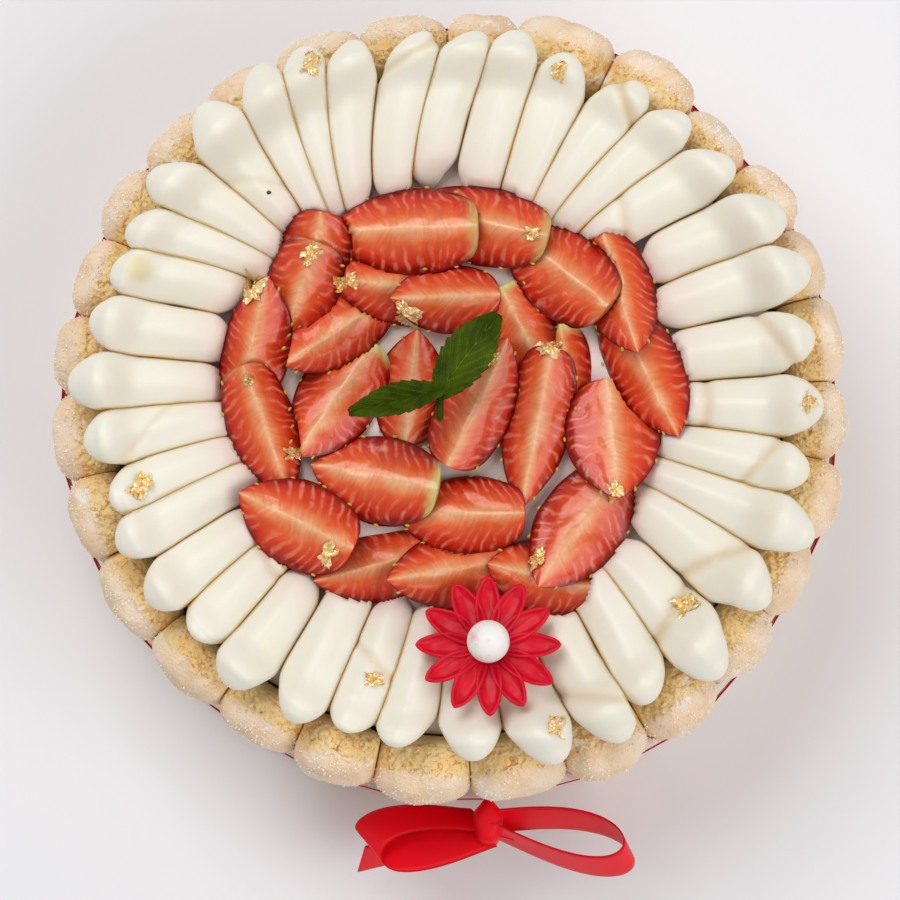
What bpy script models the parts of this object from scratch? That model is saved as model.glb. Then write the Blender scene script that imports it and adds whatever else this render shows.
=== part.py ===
"""Strawberry charlotte: sponge fingers round a mousse, piped cream, cut strawberries, a sugar daisy and a bow.

The origin is at the centre of the base, +Z is up and the bow faces -Y. Angles run clockwise from the back.
"""

import math
import random

import bmesh
import bpy
from mathutils import Matrix, Vector
from mathutils.bvhtree import BVHTree
from mathutils.geometry import convex_hull_2d

for old in list(bpy.data.objects):
    bpy.data.objects.remove(old)

# Driving dimensions, in metres
MM = 0.001
GAP = 0.3 * MM
WALL_OUTER = 120.5 * MM
WALL_INNER = 101.0 * MM
FINGER_HEIGHT = 74.0 * MM
FINGER_DOME = 12.5 * MM
FINGER_SIDES = 12
FINGER_RINGS = 6
FINGER_PINCH = 2.2 * MM
FINGER_CONTACT = 5.5 * MM
FINGER_SQUARE = 0.8
MOUSSE_TOP = 63.0 * MM
MOUSSE_SIDES = 40
MOUSSE_BEVEL = 1.5 * MM
CREAM_ABOVE_FINGERS = 1.7 * MM
CREAM_RISE_FROM = 93.0 * MM
CREAM_RISE_TO = 106.0 * MM
PETAL_HALF_WIDTH = 9.3 * MM
PETAL_WIDEST = 0.32
PETAL_TAPER = 0.48
PETAL_TAIL = 0.2
PETAL_PRESS = 0.9 * MM
PETAL_SPREAD = 1.5
PETAL_TUCK = 4.0 * MM
PETAL_SIDES = 7
PETAL_RINGS = 6
WEDGE_SIDES = 10
WEDGE_RINGS = 7
DAISY_RADIUS = 22.5 * MM
DAISY_PETALS = 12
DAISY_CENTRE = Vector((11.0, -75.5, 80.0)) * MM
DAISY_TILT = math.radians(-12)
DAISY_BED_DEPTH = 14.0 * MM
DAISY_HUB = 6.6 * MM
BALL_RADIUS = 6.3 * MM
RIBBON_WIDTH = 15.0 * MM
RIBBON_THICKNESS = 0.6 * MM
RIBBON_HEIGHT = 38.0 * MM
KNOT_CENTRE = Vector((11.5, -127.0, 38.0)) * MM
KNOT_RADII = Vector((4.8, 7.8, 7.8)) * MM
LOOP_MOUTH = 1.3 * MM

# How the width of each loop and tail leans, from its lower edge to its upper one
LEFT_LEAN = Vector((8.5, -7.0, 10.2))
RIGHT_LEAN = Vector((-3.8, 6.1, 13.2))
LEFT_TAIL_LEAN = Vector((2.5, 7.9, 12.5))
RIGHT_TAIL_LEAN = Vector((13.5, -4.0, 5.0))

# The places that each tail runs through, from the knot, in millimetres
LEFT_TAIL = ((-1, -2, -3), (-14, -5, -12), (-39, -11, -15))
RIGHT_TAIL = ((1, -3, -3), (5, -5, -11), (8, -6, -22))

# Where one finger ends and the next begins, in degrees, and how far each stands out or in, in millimetres
FINGER_EDGES = (-0.5, 10.4, 25.5, 39.2, 51.3, 63.0, 74.0, 87.0, 99.0, 111.5, 124.0, 136.8, 149.5, 162.5,
                177.0, 191.5, 204.2, 217.5, 231.2, 245.4, 258.0, 271.0, 283.0, 295.5, 307.5, 320.0, 332.5, 346.0)
FINGER_BULGE = (-0.8, 1.6, 3.0, -1.9, 1.0, 0.2, -0.3, -0.8, 0.6, -0.1, 0.4, 2.0, 1.8, 0.8,
                0.6, -0.5, -2.0, -1.9, -0.7, -0.6, 0.4, 0.0, -1.1, 0.6, -0.3, -0.8, -1.0, -1.4)

# Each piped petal: angle of its outer tip and of its tail, then their distances from the axis in millimetres
PETALS = (
    (4.1, -5.7, 110, 69), (10.7, 7.9, 112, 63), (19.2, 18.8, 109, 60), (31.3, 25.6, 110, 62),
    (39.9, 32.7, 110, 62), (50.0, 41.4, 110, 64), (61.1, 56.6, 114, 72), (70.2, 66.2, 114, 67),
    (80.7, 79.9, 110, 66), (91.8, 91.5, 111, 67), (102.4, 101.7, 109, 64), (111.9, 109.8, 116, 61),
    (123.5, 117.8, 113, 61), (136.2, 133.9, 116, 64), (147.0, 141.8, 109, 65), (153.5, 156.3, 115, 68),
    (164.0, 168.8, 114, 66), (176.4, 176.7, 109, 66), (189.1, 185.1, 106, 64), (197.3, 194.5, 105, 64),
    (205.9, 206.4, 108, 63), (217.4, 218.8, 109, 69), (226.7, 228.6, 105, 68), (235.5, 237.4, 109, 69),
    (245.2, 249.7, 109, 64), (252.5, 256.1, 106, 67), (262.4, 265.0, 110, 67), (271.7, 273.5, 114, 70),
    (281.9, 283.9, 110, 70), (290.3, 297.3, 108, 71), (297.5, 305.2, 109, 69), (306.5, 311.2, 112, 69),
    (319.2, 318.2, 115, 72), (329.5, 325.0, 115, 67), (336.8, 328.8, 114, 67), (344.4, 333.9, 111, 66),
    (355.6, 345.2, 110, 65),
)

# Each strawberry wedge, from the topmost down: number, then in millimetres its tip, its stalk end and its
# radius, then the angle it was cut to and its roll about its own length, in degrees
WEDGES = (
    (5, (-63, -29, 80), (-29, -46, 81), 15.0, 122, 0),
    (4, (-48, -30, 72), (-62, 9, 80), 12.5, 110, 5),
    (3, (-55, 36, 80), (-64, -3, 73), 13.0, 108, 10),
    (2, (-50, 19, 72), (-40, 46, 80), 13.5, 115, 0),
    (1, (-43, 30, 72), (-39, 56, 76), 13.0, 112, 0),
    (15, (-38, 50, 73), (8, 51, 81), 15.0, 120, 0),
    (14, (-15, 59, 72), (29, 48, 80), 14.0, 115, 0),
    (13, (17, 52, 72), (47, 27, 80), 15.0, 122, 0),
    (12, (56, 13, 79), (46, 50, 73), 13.0, 115, 0),
    (11, (68, -12, 77), (49, 27, 73), 13.0, 118, -10),
    (10, (50, -31, 81), (47, 6, 73), 14.5, 150, 0),
    (9, (26, -57, 78), (50, -22, 73), 14.5, 130, 0),
    (8, (11, -50, 77), (42, -57, 71), 13.0, 115, 0),
    (18, (-18, 29, 82), (15, 31, 76), 12.5, 110, 0),
    (17, (-36, 36, 79), (2, 31, 74), 13.0, 110, 0),
    (16, (-50, 9, 81), (-19, 30, 75), 13.0, 115, 10),
    (25, (-46, -18, 78), (-23, 17, 73), 14.0, 120, 0),
    (24, (-42, -20, 73), (-4, -28, 80), 14.5, 130, 0),
    (21, (17, 17, 82), (-1, -21, 78), 13.5, 115, 0),
    (23, (-17, -35, 73), (22, -35, 78), 13.5, 120, 0),
    (22, (21, -33, 73), (30, 14, 83), 12.5, 115, 0),
    (7, (-19, -55, 79), (21, -48, 73), 13.5, 112, 0),
    (6, (-41, -55, 73), (-2, -45, 72), 13.0, 110, 0),
    (19, (28, 8, 71), (15, 33, 77), 13.0, 120, 0),
    (20, (36, -13, 72), (33, 22, 76), 12.5, 100, 4),
    (26, (-10, 20, 78), (-14, -14, 72), 13.0, 108, 0),
)

# Flakes of gold leaf: place in millimetres, length in millimetres, and heading in degrees
GOLD_FLAKES = (
    (-41.7, 98.5, 8, 70), (32.3, 96.4, 6, 80), (105.9, -3.0, 6, 60), (-92.0, -27.0, 8, 60),
    (-22.9, -84.5, 6, 0), (69.8, -62.1, 8, 30), (30.8, -98.5, 7, 90), (-58.9, 33.0, 9, 80),
    (-41.7, 42.7, 7, 45), (-31.7, 34.8, 7, 0), (-13.0, 24.5, 8, -35), (29.5, 14.5, 9, 10),
    (12.6, 10.9, 5, 60), (24.1, 48.9, 5, -10), (-60.5, 4.5, 4, 60), (-47.0, -16.5, 5, 0),
    (-36.5, -47.5, 7, 60), (48.9, -28.5, 6, -70), (25.5, -48.5, 6, 50),
)

cake = bpy.data.collections.new("strawberry_charlotte")
cutters = bpy.data.collections.new("cutters")
bpy.context.scene.collection.children.link(cake)
bpy.context.scene.collection.children.link(cutters)


def new_material(name, colour, roughness):
    """A plain food or fabric finish from an sRGB hex colour."""
    material = bpy.data.materials.new(name)
    material.use_nodes = True
    shader = material.node_tree.nodes["Principled BSDF"]
    channels = [int(colour[i:i + 2], 16) / 255 for i in (1, 3, 5)]
    shader.inputs["Base Color"].default_value = [c ** 2.2 for c in channels] + [1.0]
    shader.inputs["Roughness"].default_value = roughness
    shader.inputs["Metallic"].default_value = 0.0
    return material


def new_object(name, shape, material, collection=cake):
    """Turns a bmesh into a named object, with its faces pointing out."""
    bmesh.ops.recalc_face_normals(shape, faces=shape.faces)
    if shape.calc_volume(signed=True) < 0:
        bmesh.ops.reverse_faces(shape, faces=shape.faces)
    mesh = bpy.data.meshes.new(name)
    shape.to_mesh(mesh)
    shape.free()
    piece = bpy.data.objects.new(name, mesh)
    mesh.materials.append(material)
    collection.objects.link(piece)
    if collection == cutters:
        piece.hide_render = True
        piece.display_type = "WIRE"
    return piece


def polar(angle, radius, height):
    """A point at an angle clockwise from the back, in degrees."""
    turn = math.radians(angle)
    return Vector((radius * math.sin(turn), radius * math.cos(turn), height))


def smooth_step(value, low, high):
    """Rises smoothly from 0 at low to 1 at high."""
    share = min(max((value - low) / (high - low), 0.0), 1.0)
    return share * share * (3.0 - 2.0 * share)


def bake_modifiers(piece):
    """Applies the modifiers and keeps the largest body, so that no scrap of a cut stays loose."""
    bpy.context.view_layer.update()
    graph = bpy.context.evaluated_depsgraph_get()
    result = bpy.data.meshes.new_from_object(piece.evaluated_get(graph))
    piece.modifiers.clear()
    shape = bmesh.new()
    shape.from_mesh(result)
    bmesh.ops.remove_doubles(shape, verts=shape.verts, dist=0.02 * MM)
    bmesh.ops.dissolve_degenerate(shape, edges=shape.edges, dist=0.02 * MM)
    waiting = set(shape.verts)
    islands = []
    while waiting:
        island = {waiting.pop()}
        edge_of_island = list(island)
        while edge_of_island:
            vertex = edge_of_island.pop()
            for edge in vertex.link_edges:
                other = edge.other_vert(vertex)
                if other in waiting:
                    waiting.remove(other)
                    island.add(other)
                    edge_of_island.append(other)
        islands.append(island)
    islands.sort(key=len)
    for island in islands[:-1]:
        bmesh.ops.delete(shape, geom=list(island), context="VERTS")
    bmesh.ops.triangulate(shape, faces=shape.faces)
    shape.to_mesh(piece.data)
    shape.free()


def add_boolean(piece, cutter, operation, solver="EXACT"):
    """Cuts a piece by another, or joins the two."""
    step = piece.modifiers.new(operation.lower(), "BOOLEAN")
    step.object = cutter
    step.operation = operation
    step.solver = solver


def join_collection(piece, parts, solver):
    """Joins all the pieces of a collection to one piece with a single union, then removes them."""
    step = piece.modifiers.new("union", "BOOLEAN")
    step.operand_type = "COLLECTION"
    step.collection = parts
    step.operation = "UNION"
    step.solver = solver
    bake_modifiers(piece)
    for part in list(parts.objects):
        bpy.data.objects.remove(part)
    bpy.data.collections.remove(parts)


# The mousse cake inside the wall
def build_mousse(material):
    """One solid up to its flat top, with a softened rim."""
    shape = bmesh.new()
    radius = WALL_INNER - GAP - 0.2 * MM
    bmesh.ops.create_cone(shape, cap_ends=True, segments=MOUSSE_SIDES, radius1=radius, radius2=radius,
                          depth=MOUSSE_TOP)
    bmesh.ops.translate(shape, verts=shape.verts, vec=(0, 0, MOUSSE_TOP / 2))
    rim = [e for e in shape.edges if all(v.co.z > MOUSSE_TOP - GAP for v in e.verts)]
    bmesh.ops.bevel(shape, geom=rim, offset=MOUSSE_BEVEL, segments=1, affect="EDGES")
    return new_object("cake_body", shape, material)


# One upright sponge finger
def build_finger(index, material, chance):
    """Flat inside, domed outside, with a rounded top, and drawn in where the ribbon is tied round it."""
    start = FINGER_EDGES[index]
    end = FINGER_EDGES[index + 1] if index + 1 < len(FINGER_EDGES) else FINGER_EDGES[0] + 360
    middle = (start + end) / 2
    half_angle = math.radians(end - start) / 2
    outer = WALL_OUTER + FINGER_BULGE[index] * MM
    height = FINGER_HEIGHT + chance.uniform(-1.5, 1.0) * MM
    centre = (outer + WALL_INNER) / 2
    half_depth = (outer - WALL_INNER) / 2
    half_width = math.tan(half_angle) * (centre + FINGER_CONTACT)
    shape = bmesh.new()
    bmesh.ops.create_uvsphere(shape, u_segments=FINGER_SIDES, v_segments=FINGER_RINGS, radius=1.0)
    bmesh.ops.bisect_plane(shape, geom=shape.verts[:] + shape.edges[:] + shape.faces[:],
                           plane_co=(0, 0, 0), plane_no=(0, 0, 1), clear_inner=True, dist=1e-4)
    rim = [e for e in shape.edges if e.is_boundary]
    for depth in (0.4, 0.6):
        wall = bmesh.ops.extrude_edge_only(shape, edges=rim)["geom"]
        lower = [v for v in wall if isinstance(v, bmesh.types.BMVert)]
        bmesh.ops.translate(shape, verts=lower, vec=(0, 0, -depth))
        rim = [e for e in shape.edges if e.is_boundary]
    bmesh.ops.holes_fill(shape, edges=rim, sides=0)
    for vertex in shape.verts:
        x, y, z = vertex.co
        spread = math.hypot(x, y)
        power = 2.6 if y > 0 else 4.5
        reach = 0.0
        if spread > 0:
            round_off = (abs(x / spread) ** power + abs(y / spread) ** power) ** (1 / power)
            reach = spread ** FINGER_SQUARE / round_off
        along = reach * x / spread * half_width if spread > 0 else 0.0
        out = centre + (reach * y / spread * half_depth if spread > 0 else 0.0)
        if y > 0 and z < -0.3:
            out -= FINGER_PINCH * y * (1.0 if z > -0.9 else 0.4)
        limit = math.tan(half_angle) * out - 0.6 * GAP
        along = min(max(along, -limit), limit)
        rise = height - FINGER_DOME + max(z, 0.0) ** FINGER_SQUARE * FINGER_DOME
        if z < -0.001:
            rise = RIBBON_HEIGHT if z > -0.9 else 0.0
        place = polar(middle, out, rise)
        side = polar(middle + 90, along, 0)
        vertex.co = place + side
    return new_object(f"ladyfinger_{index + 1:02d}", shape, material)


def cream_floor(radius):
    """What the cream rests on: the mousse in the middle, then up over the rounded tops of the fingers."""
    rise = FINGER_HEIGHT + CREAM_ABOVE_FINGERS - MOUSSE_TOP
    return MOUSSE_TOP + GAP + rise * smooth_step(radius, CREAM_RISE_FROM, CREAM_RISE_TO)


def petal_angle(petal, radius):
    """The angle at which a petal's middle line passes a given distance from the axis."""
    tip_angle, tail_angle, tip, tail = petal
    share = (radius / MM - tail) / (tip - tail)
    return tail_angle + (tip_angle - tail_angle) * min(max(share, 0.0), 1.0)


def petal_fullness(share):
    """A petal's width along its length: an egg's round end, then a taper to a small round tail."""
    if share < PETAL_WIDEST:
        return math.sqrt(max(1.0 - (1.0 - share / PETAL_WIDEST) ** 2, 0.0))
    taper = 1.0 - PETAL_TAPER * ((share - PETAL_WIDEST) / (1.0 - PETAL_WIDEST)) ** 1.4
    tail = max((share - 1.0 + PETAL_TAIL) / PETAL_TAIL, 0.0)
    return taper * math.sqrt(max(1.0 - tail * tail, 0.0))


# One piped petal of whipped cream
def build_petal(index, material, collection):
    """A plump blunt tip leaning on the wall, drawn in to a thin tail."""
    petal = PETALS[index]
    before = PETALS[index - 1]
    after = PETALS[(index + 1) % len(PETALS)]
    tip, tail = petal[2] * MM, petal[3] * MM - PETAL_TUCK
    shape = bmesh.new()
    bmesh.ops.create_uvsphere(shape, u_segments=PETAL_SIDES, v_segments=PETAL_RINGS, radius=1.0)
    for vertex in shape.verts:
        x, y, z = vertex.co
        fullness = math.sqrt(max(1.0 - z * z, 0.0))
        share = (1.0 - z) / 2.0
        radius = tip + (tail - tip) * share
        half_width = PETAL_HALF_WIDTH * petal_fullness(share)
        across = x / fullness if fullness > 0.001 else 0.0
        upward = y / fullness if fullness > 0.001 else 0.0
        own_angle = petal_angle(petal, radius)
        neighbour = after if across > 0 else before
        apart = abs((petal_angle(neighbour, radius) - own_angle + 180) % 360 - 180)
        limit = radius * math.radians(apart) / 2 + PETAL_PRESS
        if 0.3 < share < 0.8:
            half_width = max(half_width, min(limit, PETAL_SPREAD * half_width))
        side = across * min(half_width, limit)
        lift = max(half_width * 0.9, (6.0 - 7.5 * share) * MM)
        rise = cream_floor(radius) + lift + upward * half_width * 0.95
        place = polar(own_angle, radius, 0) + polar(own_angle + 90, side, 0)
        place.z = max(rise, cream_floor(place.length) + 0.2 * MM)
        vertex.co = place
    return new_object(f"petal_{index + 1:02d}", shape, material, collection)


# The ring of piped cream
def build_cream(material):
    """All the petals, each pressed into the next and so one solid."""
    parts = bpy.data.collections.new("petals")
    bpy.context.scene.collection.children.link(parts)
    petals = [build_petal(i, material, parts) for i in range(len(PETALS))]
    ring = petals[0]
    parts.objects.unlink(ring)
    cake.objects.link(ring)
    ring.name = "piped_cream"
    ring.data.name = "piped_cream"
    join_collection(ring, parts, "EXACT")
    return ring


# One wedge of strawberry
def build_wedge(row, material, name, swell=0.0, collection=cake):
    """A spindle cut along its length by two planes that meet on its core, and flat where it lies down."""
    _, tip, stalk, radius, opening, roll = row
    tip, stalk = Vector(tip) * MM, Vector(stalk) * MM
    length = (stalk - tip).length
    shape = bmesh.new()
    bmesh.ops.create_uvsphere(shape, u_segments=WEDGE_SIDES, v_segments=WEDGE_RINGS, radius=1.0)
    for vertex in shape.verts:
        x, y, z = vertex.co
        share = (1.0 - z) / 2.0
        fullness = math.hypot(x, y)
        bluntness = fullness ** (0.6 - 0.95 * share) if fullness > 0.001 else 0.0
        girth = radius * MM * (0.88 + 0.26 * share) * bluntness
        vertex.co = Vector((share * length, x * girth, y * girth))
    half = math.radians(opening) / 2
    for side in (-1, 1):
        normal = Vector((0, side * math.cos(half), math.sin(half)))
        bmesh.ops.bisect_plane(shape, geom=shape.verts[:] + shape.edges[:] + shape.faces[:],
                               plane_co=(0, 0, 0), plane_no=normal, clear_outer=True, dist=1e-5)
        bmesh.ops.holes_fill(shape, edges=[e for e in shape.edges if e.is_boundary], sides=0)
    along = (stalk - tip).normalized()
    across = Vector((0, 0, 1)).cross(along).normalized()
    frame = Matrix((along, across, along.cross(across))).transposed().to_4x4()
    place = Matrix.Translation(tip) @ frame @ Matrix.Rotation(math.radians(roll), 4, "X")
    bmesh.ops.transform(shape, matrix=place, verts=shape.verts)
    bmesh.ops.bisect_plane(shape, geom=shape.verts[:] + shape.edges[:] + shape.faces[:],
                           plane_co=(0, 0, MOUSSE_TOP + GAP), plane_no=(0, 0, -1), clear_outer=True, dist=1e-5)
    bmesh.ops.holes_fill(shape, edges=[e for e in shape.edges if e.is_boundary], sides=0)
    bmesh.ops.recalc_face_normals(shape, faces=shape.faces)
    if swell:
        shape.normal_update()
        for vertex in shape.verts:
            vertex.co += vertex.normal * swell
    return new_object(name, shape, material, collection)


def tree_of(piece):
    """A search tree of a piece's faces, for finding what it meets."""
    shape = bmesh.new()
    shape.from_mesh(piece.data)
    tree = BVHTree.FromBMesh(shape)
    shape.free()
    return tree


def build_daisy_bed(material):
    """The room under and round the daisy, which what it lies on gives way to."""
    shape = bmesh.new()
    radius = DAISY_RADIUS + 1.5 * MM
    bmesh.ops.create_cone(shape, cap_ends=True, segments=16, radius1=radius, radius2=radius,
                          depth=DAISY_BED_DEPTH)
    lift = Matrix.Translation((0, 0, DAISY_BED_DEPTH / 2 - 1.0 * MM))
    bmesh.ops.transform(shape, matrix=daisy_matrix() @ lift, verts=shape.verts)
    return new_object("daisy_bed", shape, material, cutters)


# The heap of strawberry wedges
def build_strawberries(material, ring):
    """Each lower wedge gives way where a higher one presses into it, and so does the cream."""
    pieces = []
    bed = build_daisy_bed(material)
    swollen = [(bed, tree_of(bed))]
    add_boolean(ring, bed, "DIFFERENCE", "MANIFOLD")
    ring_tree = tree_of(ring)
    for row in WEDGES:
        piece = build_wedge(row, material, f"strawberry_{row[0]:02d}")
        own_tree = tree_of(piece)
        cutting = [c for c, tree in swollen if own_tree.overlap(tree)]
        for cutter in cutting:
            add_boolean(piece, cutter, "DIFFERENCE")
        cutter = build_wedge(row, material, f"press_{row[0]:02d}", GAP + 0.1 * MM, cutters)
        swollen.append((cutter, tree_of(cutter)))
        if cutting:
            bake_modifiers(piece)
        if ring_tree.overlap(tree_of(cutter)):
            add_boolean(ring, cutter, "DIFFERENCE", "MANIFOLD")
        pieces.append(piece)
    bake_modifiers(ring)
    return pieces


# The flakes of gold leaf
def build_flake(place, normal, length, heading, material, chance):
    """A crumpled flake, half sunk in the surface it lies on."""
    shape = bmesh.new()
    bmesh.ops.create_icosphere(shape, subdivisions=1, radius=1.0)
    turn = normal.to_track_quat("Z", "Y").to_matrix().to_4x4()
    size = Matrix.Diagonal((length / 2, length * 0.3, 0.8 * MM, 1.0))
    for vertex in shape.verts:
        vertex.co *= chance.uniform(0.8, 1.2)
    spin = Matrix.Rotation(math.radians(heading), 4, "Z")
    bmesh.ops.transform(shape, matrix=Matrix.Translation(place) @ turn @ spin @ size, verts=shape.verts)
    return new_object("gold_flake", shape, material, cutters)


def lay_gold(pieces, material, chance):
    """Joins each flake to whichever piece lies topmost at its place."""
    trees = [(piece, tree_of(piece)) for piece in pieces]
    gilded = set()
    for x, y, length, heading in GOLD_FLAKES:
        above = Vector((x * MM, y * MM, 0.2))
        best = None
        for piece, tree in trees:
            place, normal, _, _ = tree.ray_cast(above, Vector((0, 0, -1)))
            if place and (best is None or place.z > best[1].z):
                best = (piece, place, normal)
        piece, place, normal = best
        flake = build_flake(place, normal, length * MM, heading, material, chance)
        add_boolean(piece, flake, "UNION")
        gilded.add(piece.name)
    for piece in pieces:
        if piece.name in gilded:
            bake_modifiers(piece)


def daisy_matrix():
    """The daisy's own frame: its front edge is propped up on the cream."""
    return Matrix.Translation(DAISY_CENTRE) @ Matrix.Rotation(DAISY_TILT, 4, "X")


# The sugar daisy and its ball
def build_daisy_petal(index, material, collection, chance):
    """One cupped sugar petal, pointed at its end, with a raised rim."""
    start = 6.0 * MM
    length = DAISY_RADIUS - start - chance.uniform(0.0, 1.2) * MM
    half_width = chance.uniform(4.1, 4.5) * MM
    tip_rise = chance.uniform(-0.02, 0.05)
    shape = bmesh.new()
    bmesh.ops.create_uvsphere(shape, u_segments=8, v_segments=4, radius=1.0)
    for vertex in shape.verts:
        x, y, z = vertex.co
        spread = min(math.hypot(x, y), 1.0)
        taper = 1.0 - 0.6 * x * x if x < 0 else 1.0 - 0.25 * x * x
        rim = 2.6 * MM * spread ** 2
        floor = (1.3 if z > 0 else 0.0) * MM if spread < 0.99 else 0.3 * MM
        out = start + (x + 1) / 2 * length
        vertex.co = Vector((out, y * half_width * taper, rim + floor + out * tip_rise))
    turn = Matrix.Rotation(math.tau * index / DAISY_PETALS + chance.uniform(-0.03, 0.03), 4, "Z")
    bmesh.ops.transform(shape, matrix=daisy_matrix() @ turn, verts=shape.verts)
    return new_object(f"sugar_petal_{index + 1:02d}", shape, material, collection)


def build_daisy(material, chance):
    """Twelve sugar petals joined by the disc at their middle."""
    parts = bpy.data.collections.new("sugar_petals")
    bpy.context.scene.collection.children.link(parts)
    for index in range(DAISY_PETALS):
        build_daisy_petal(index, material, parts, chance)
    shape = bmesh.new()
    bmesh.ops.create_cone(shape, cap_ends=True, segments=15, radius1=DAISY_HUB,
                          radius2=DAISY_HUB + 0.5 * MM, depth=2.6 * MM)
    bmesh.ops.transform(shape, matrix=daisy_matrix() @ Matrix.Translation((0, 0, 0.9 * MM)), verts=shape.verts)
    daisy = new_object("daisy_petals", shape, material)
    join_collection(daisy, parts, "MANIFOLD")
    return daisy


def build_ball(material):
    """The white sugar ball, with a flat where it sits on the daisy's disc."""
    shape = bmesh.new()
    bmesh.ops.create_uvsphere(shape, u_segments=11, v_segments=7, radius=BALL_RADIUS)
    flat = -0.72 * BALL_RADIUS
    bmesh.ops.bisect_plane(shape, geom=shape.verts[:] + shape.edges[:] + shape.faces[:],
                           plane_co=(0, 0, flat), plane_no=(0, 0, -1), clear_outer=True, dist=1e-6)
    bmesh.ops.holes_fill(shape, edges=[e for e in shape.edges if e.is_boundary], sides=0)
    lift = Matrix.Translation((0, 0, 2.2 * MM + 1.6 * MM - flat))
    bmesh.ops.transform(shape, matrix=daisy_matrix() @ lift, verts=shape.verts)
    return new_object("daisy_ball", shape, material)


# The sprig of mint
def build_leaf(name, base, tip, half_width, fold, material, collection):
    """A toothed sheet, folded along its middle rib and given its thickness."""
    base, tip = Vector(base) * MM, Vector(tip) * MM
    along = tip - base
    across = Vector((0, 0, 1)).cross(along).normalized()
    upward = along.cross(across).normalized()
    stations, columns = 7, 4
    shape = bmesh.new()
    rows = []
    for i in range(stations):
        share = i / (stations - 1)
        tooth = 1.0 + (0.09 if i % 2 else -0.06)
        width = half_width * MM * (math.sin(math.pi * min(share * 0.93 + 0.05, 1.0)) ** 0.8 * tooth + 0.06)
        arch = 3.0 * MM * math.sin(math.pi * share)
        row = []
        for j in range(columns + 1):
            side = 2 * j / columns - 1
            wave = 0.5 * MM * math.sin(share * 9 + side * 2)
            place = base + along * share + across * side * width * math.cos(fold)
            place += upward * (arch + abs(side) * width * math.sin(fold) + wave)
            row.append(shape.verts.new(place))
        rows.append(row)
    for i in range(stations - 1):
        for j in range(columns):
            shape.faces.new((rows[i][j], rows[i][j + 1], rows[i + 1][j + 1], rows[i + 1][j]))
    bmesh.ops.triangulate(shape, faces=shape.faces)
    leaf = new_object(name, shape, material, collection)
    sheet = leaf.modifiers.new("thickness", "SOLIDIFY")
    sheet.thickness = 0.8 * MM
    sheet.offset = 0.0
    bake_modifiers(leaf)
    return leaf


def build_mint(material):
    """Two leaves and a short stalk, joined where they meet."""
    parts = bpy.data.collections.new("mint_parts")
    bpy.context.scene.collection.children.link(parts)
    mint = build_leaf("mint_sprig", (-4, -1, 87), (14.0, 23.0, 90), 7.5, math.radians(22), material, cake)
    build_leaf("side_leaf", (-2, 1, 87), (-30, -6, 87), 6.0, math.radians(40), material, parts)
    shape = bmesh.new()
    bmesh.ops.create_cone(shape, cap_ends=True, segments=8, radius1=1.1 * MM, radius2=0.9 * MM, depth=10 * MM)
    tilt = Matrix.Translation(Vector((-3.2, -3.5, 86.6)) * MM) @ Matrix.Rotation(math.radians(82), 4, "X")
    bmesh.ops.transform(shape, matrix=tilt, verts=shape.verts)
    new_object("stalk", shape, material, parts)
    join_collection(mint, parts, "EXACT")
    return mint


# The satin ribbon
def build_strip(name, places, lean, material, collection, closed=False):
    """A flat strip swept through a list of places, its width along one leaning upward line."""
    shape = bmesh.new()
    rings = []
    count = len(places)
    upright = lean.normalized() * RIBBON_WIDTH / 2
    for i, place in enumerate(places):
        ahead = places[(i + 1) % count] if closed or i + 1 < count else place
        behind = places[i - 1] if closed or i > 0 else place
        outward = (ahead - behind).cross(upright).normalized() * RIBBON_THICKNESS / 2
        corners = (upright + outward, outward - upright, -upright - outward, upright - outward)
        rings.append([shape.verts.new(place + corner) for corner in corners])
    for i in range(count if closed else count - 1):
        here, there = rings[i], rings[(i + 1) % count]
        for j in range(4):
            shape.faces.new((here[j], here[(j + 1) % 4], there[(j + 1) % 4], there[j]))
    if not closed:
        shape.faces.new(rings[0])
        shape.faces.new(reversed(rings[-1]))
    return new_object(name, shape, material, collection)


def band_places(fingers):
    """The taut line round the outside of the fingers, straight across each groove."""
    waist = [v.co.xy for finger in fingers for v in finger.data.vertices if abs(v.co.z - RIBBON_HEIGHT) < 1 * MM]
    hull = [waist[i] for i in convex_hull_2d(waist)]
    kept = [p for i, p in enumerate(hull) if (p - hull[i - 1]).length > 2 * MM]
    clear = GAP + 0.2 * MM + RIBBON_THICKNESS / 2 + 0.36 * FINGER_PINCH
    return [Vector((p.x, p.y, 0)) * (1 + clear / p.length) + Vector((0, 0, RIBBON_HEIGHT)) for p in kept]


def loop_places(start, reach, depth, drop, sag):
    """A teardrop loop of the bow, out along one side and back along the other."""
    places = []
    steps = 10
    for i in range(steps + 1):
        turn = math.tau * i / steps
        out = (1 - math.cos(turn)) / 2
        side = math.sin(turn) * out ** 0.6
        apart = LOOP_MOUTH * (1 - out) * (1 - 2 * i / steps)
        places.append(start + Vector((reach * out, apart + depth * side - drop * out, -sag * out)))
    return places


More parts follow.
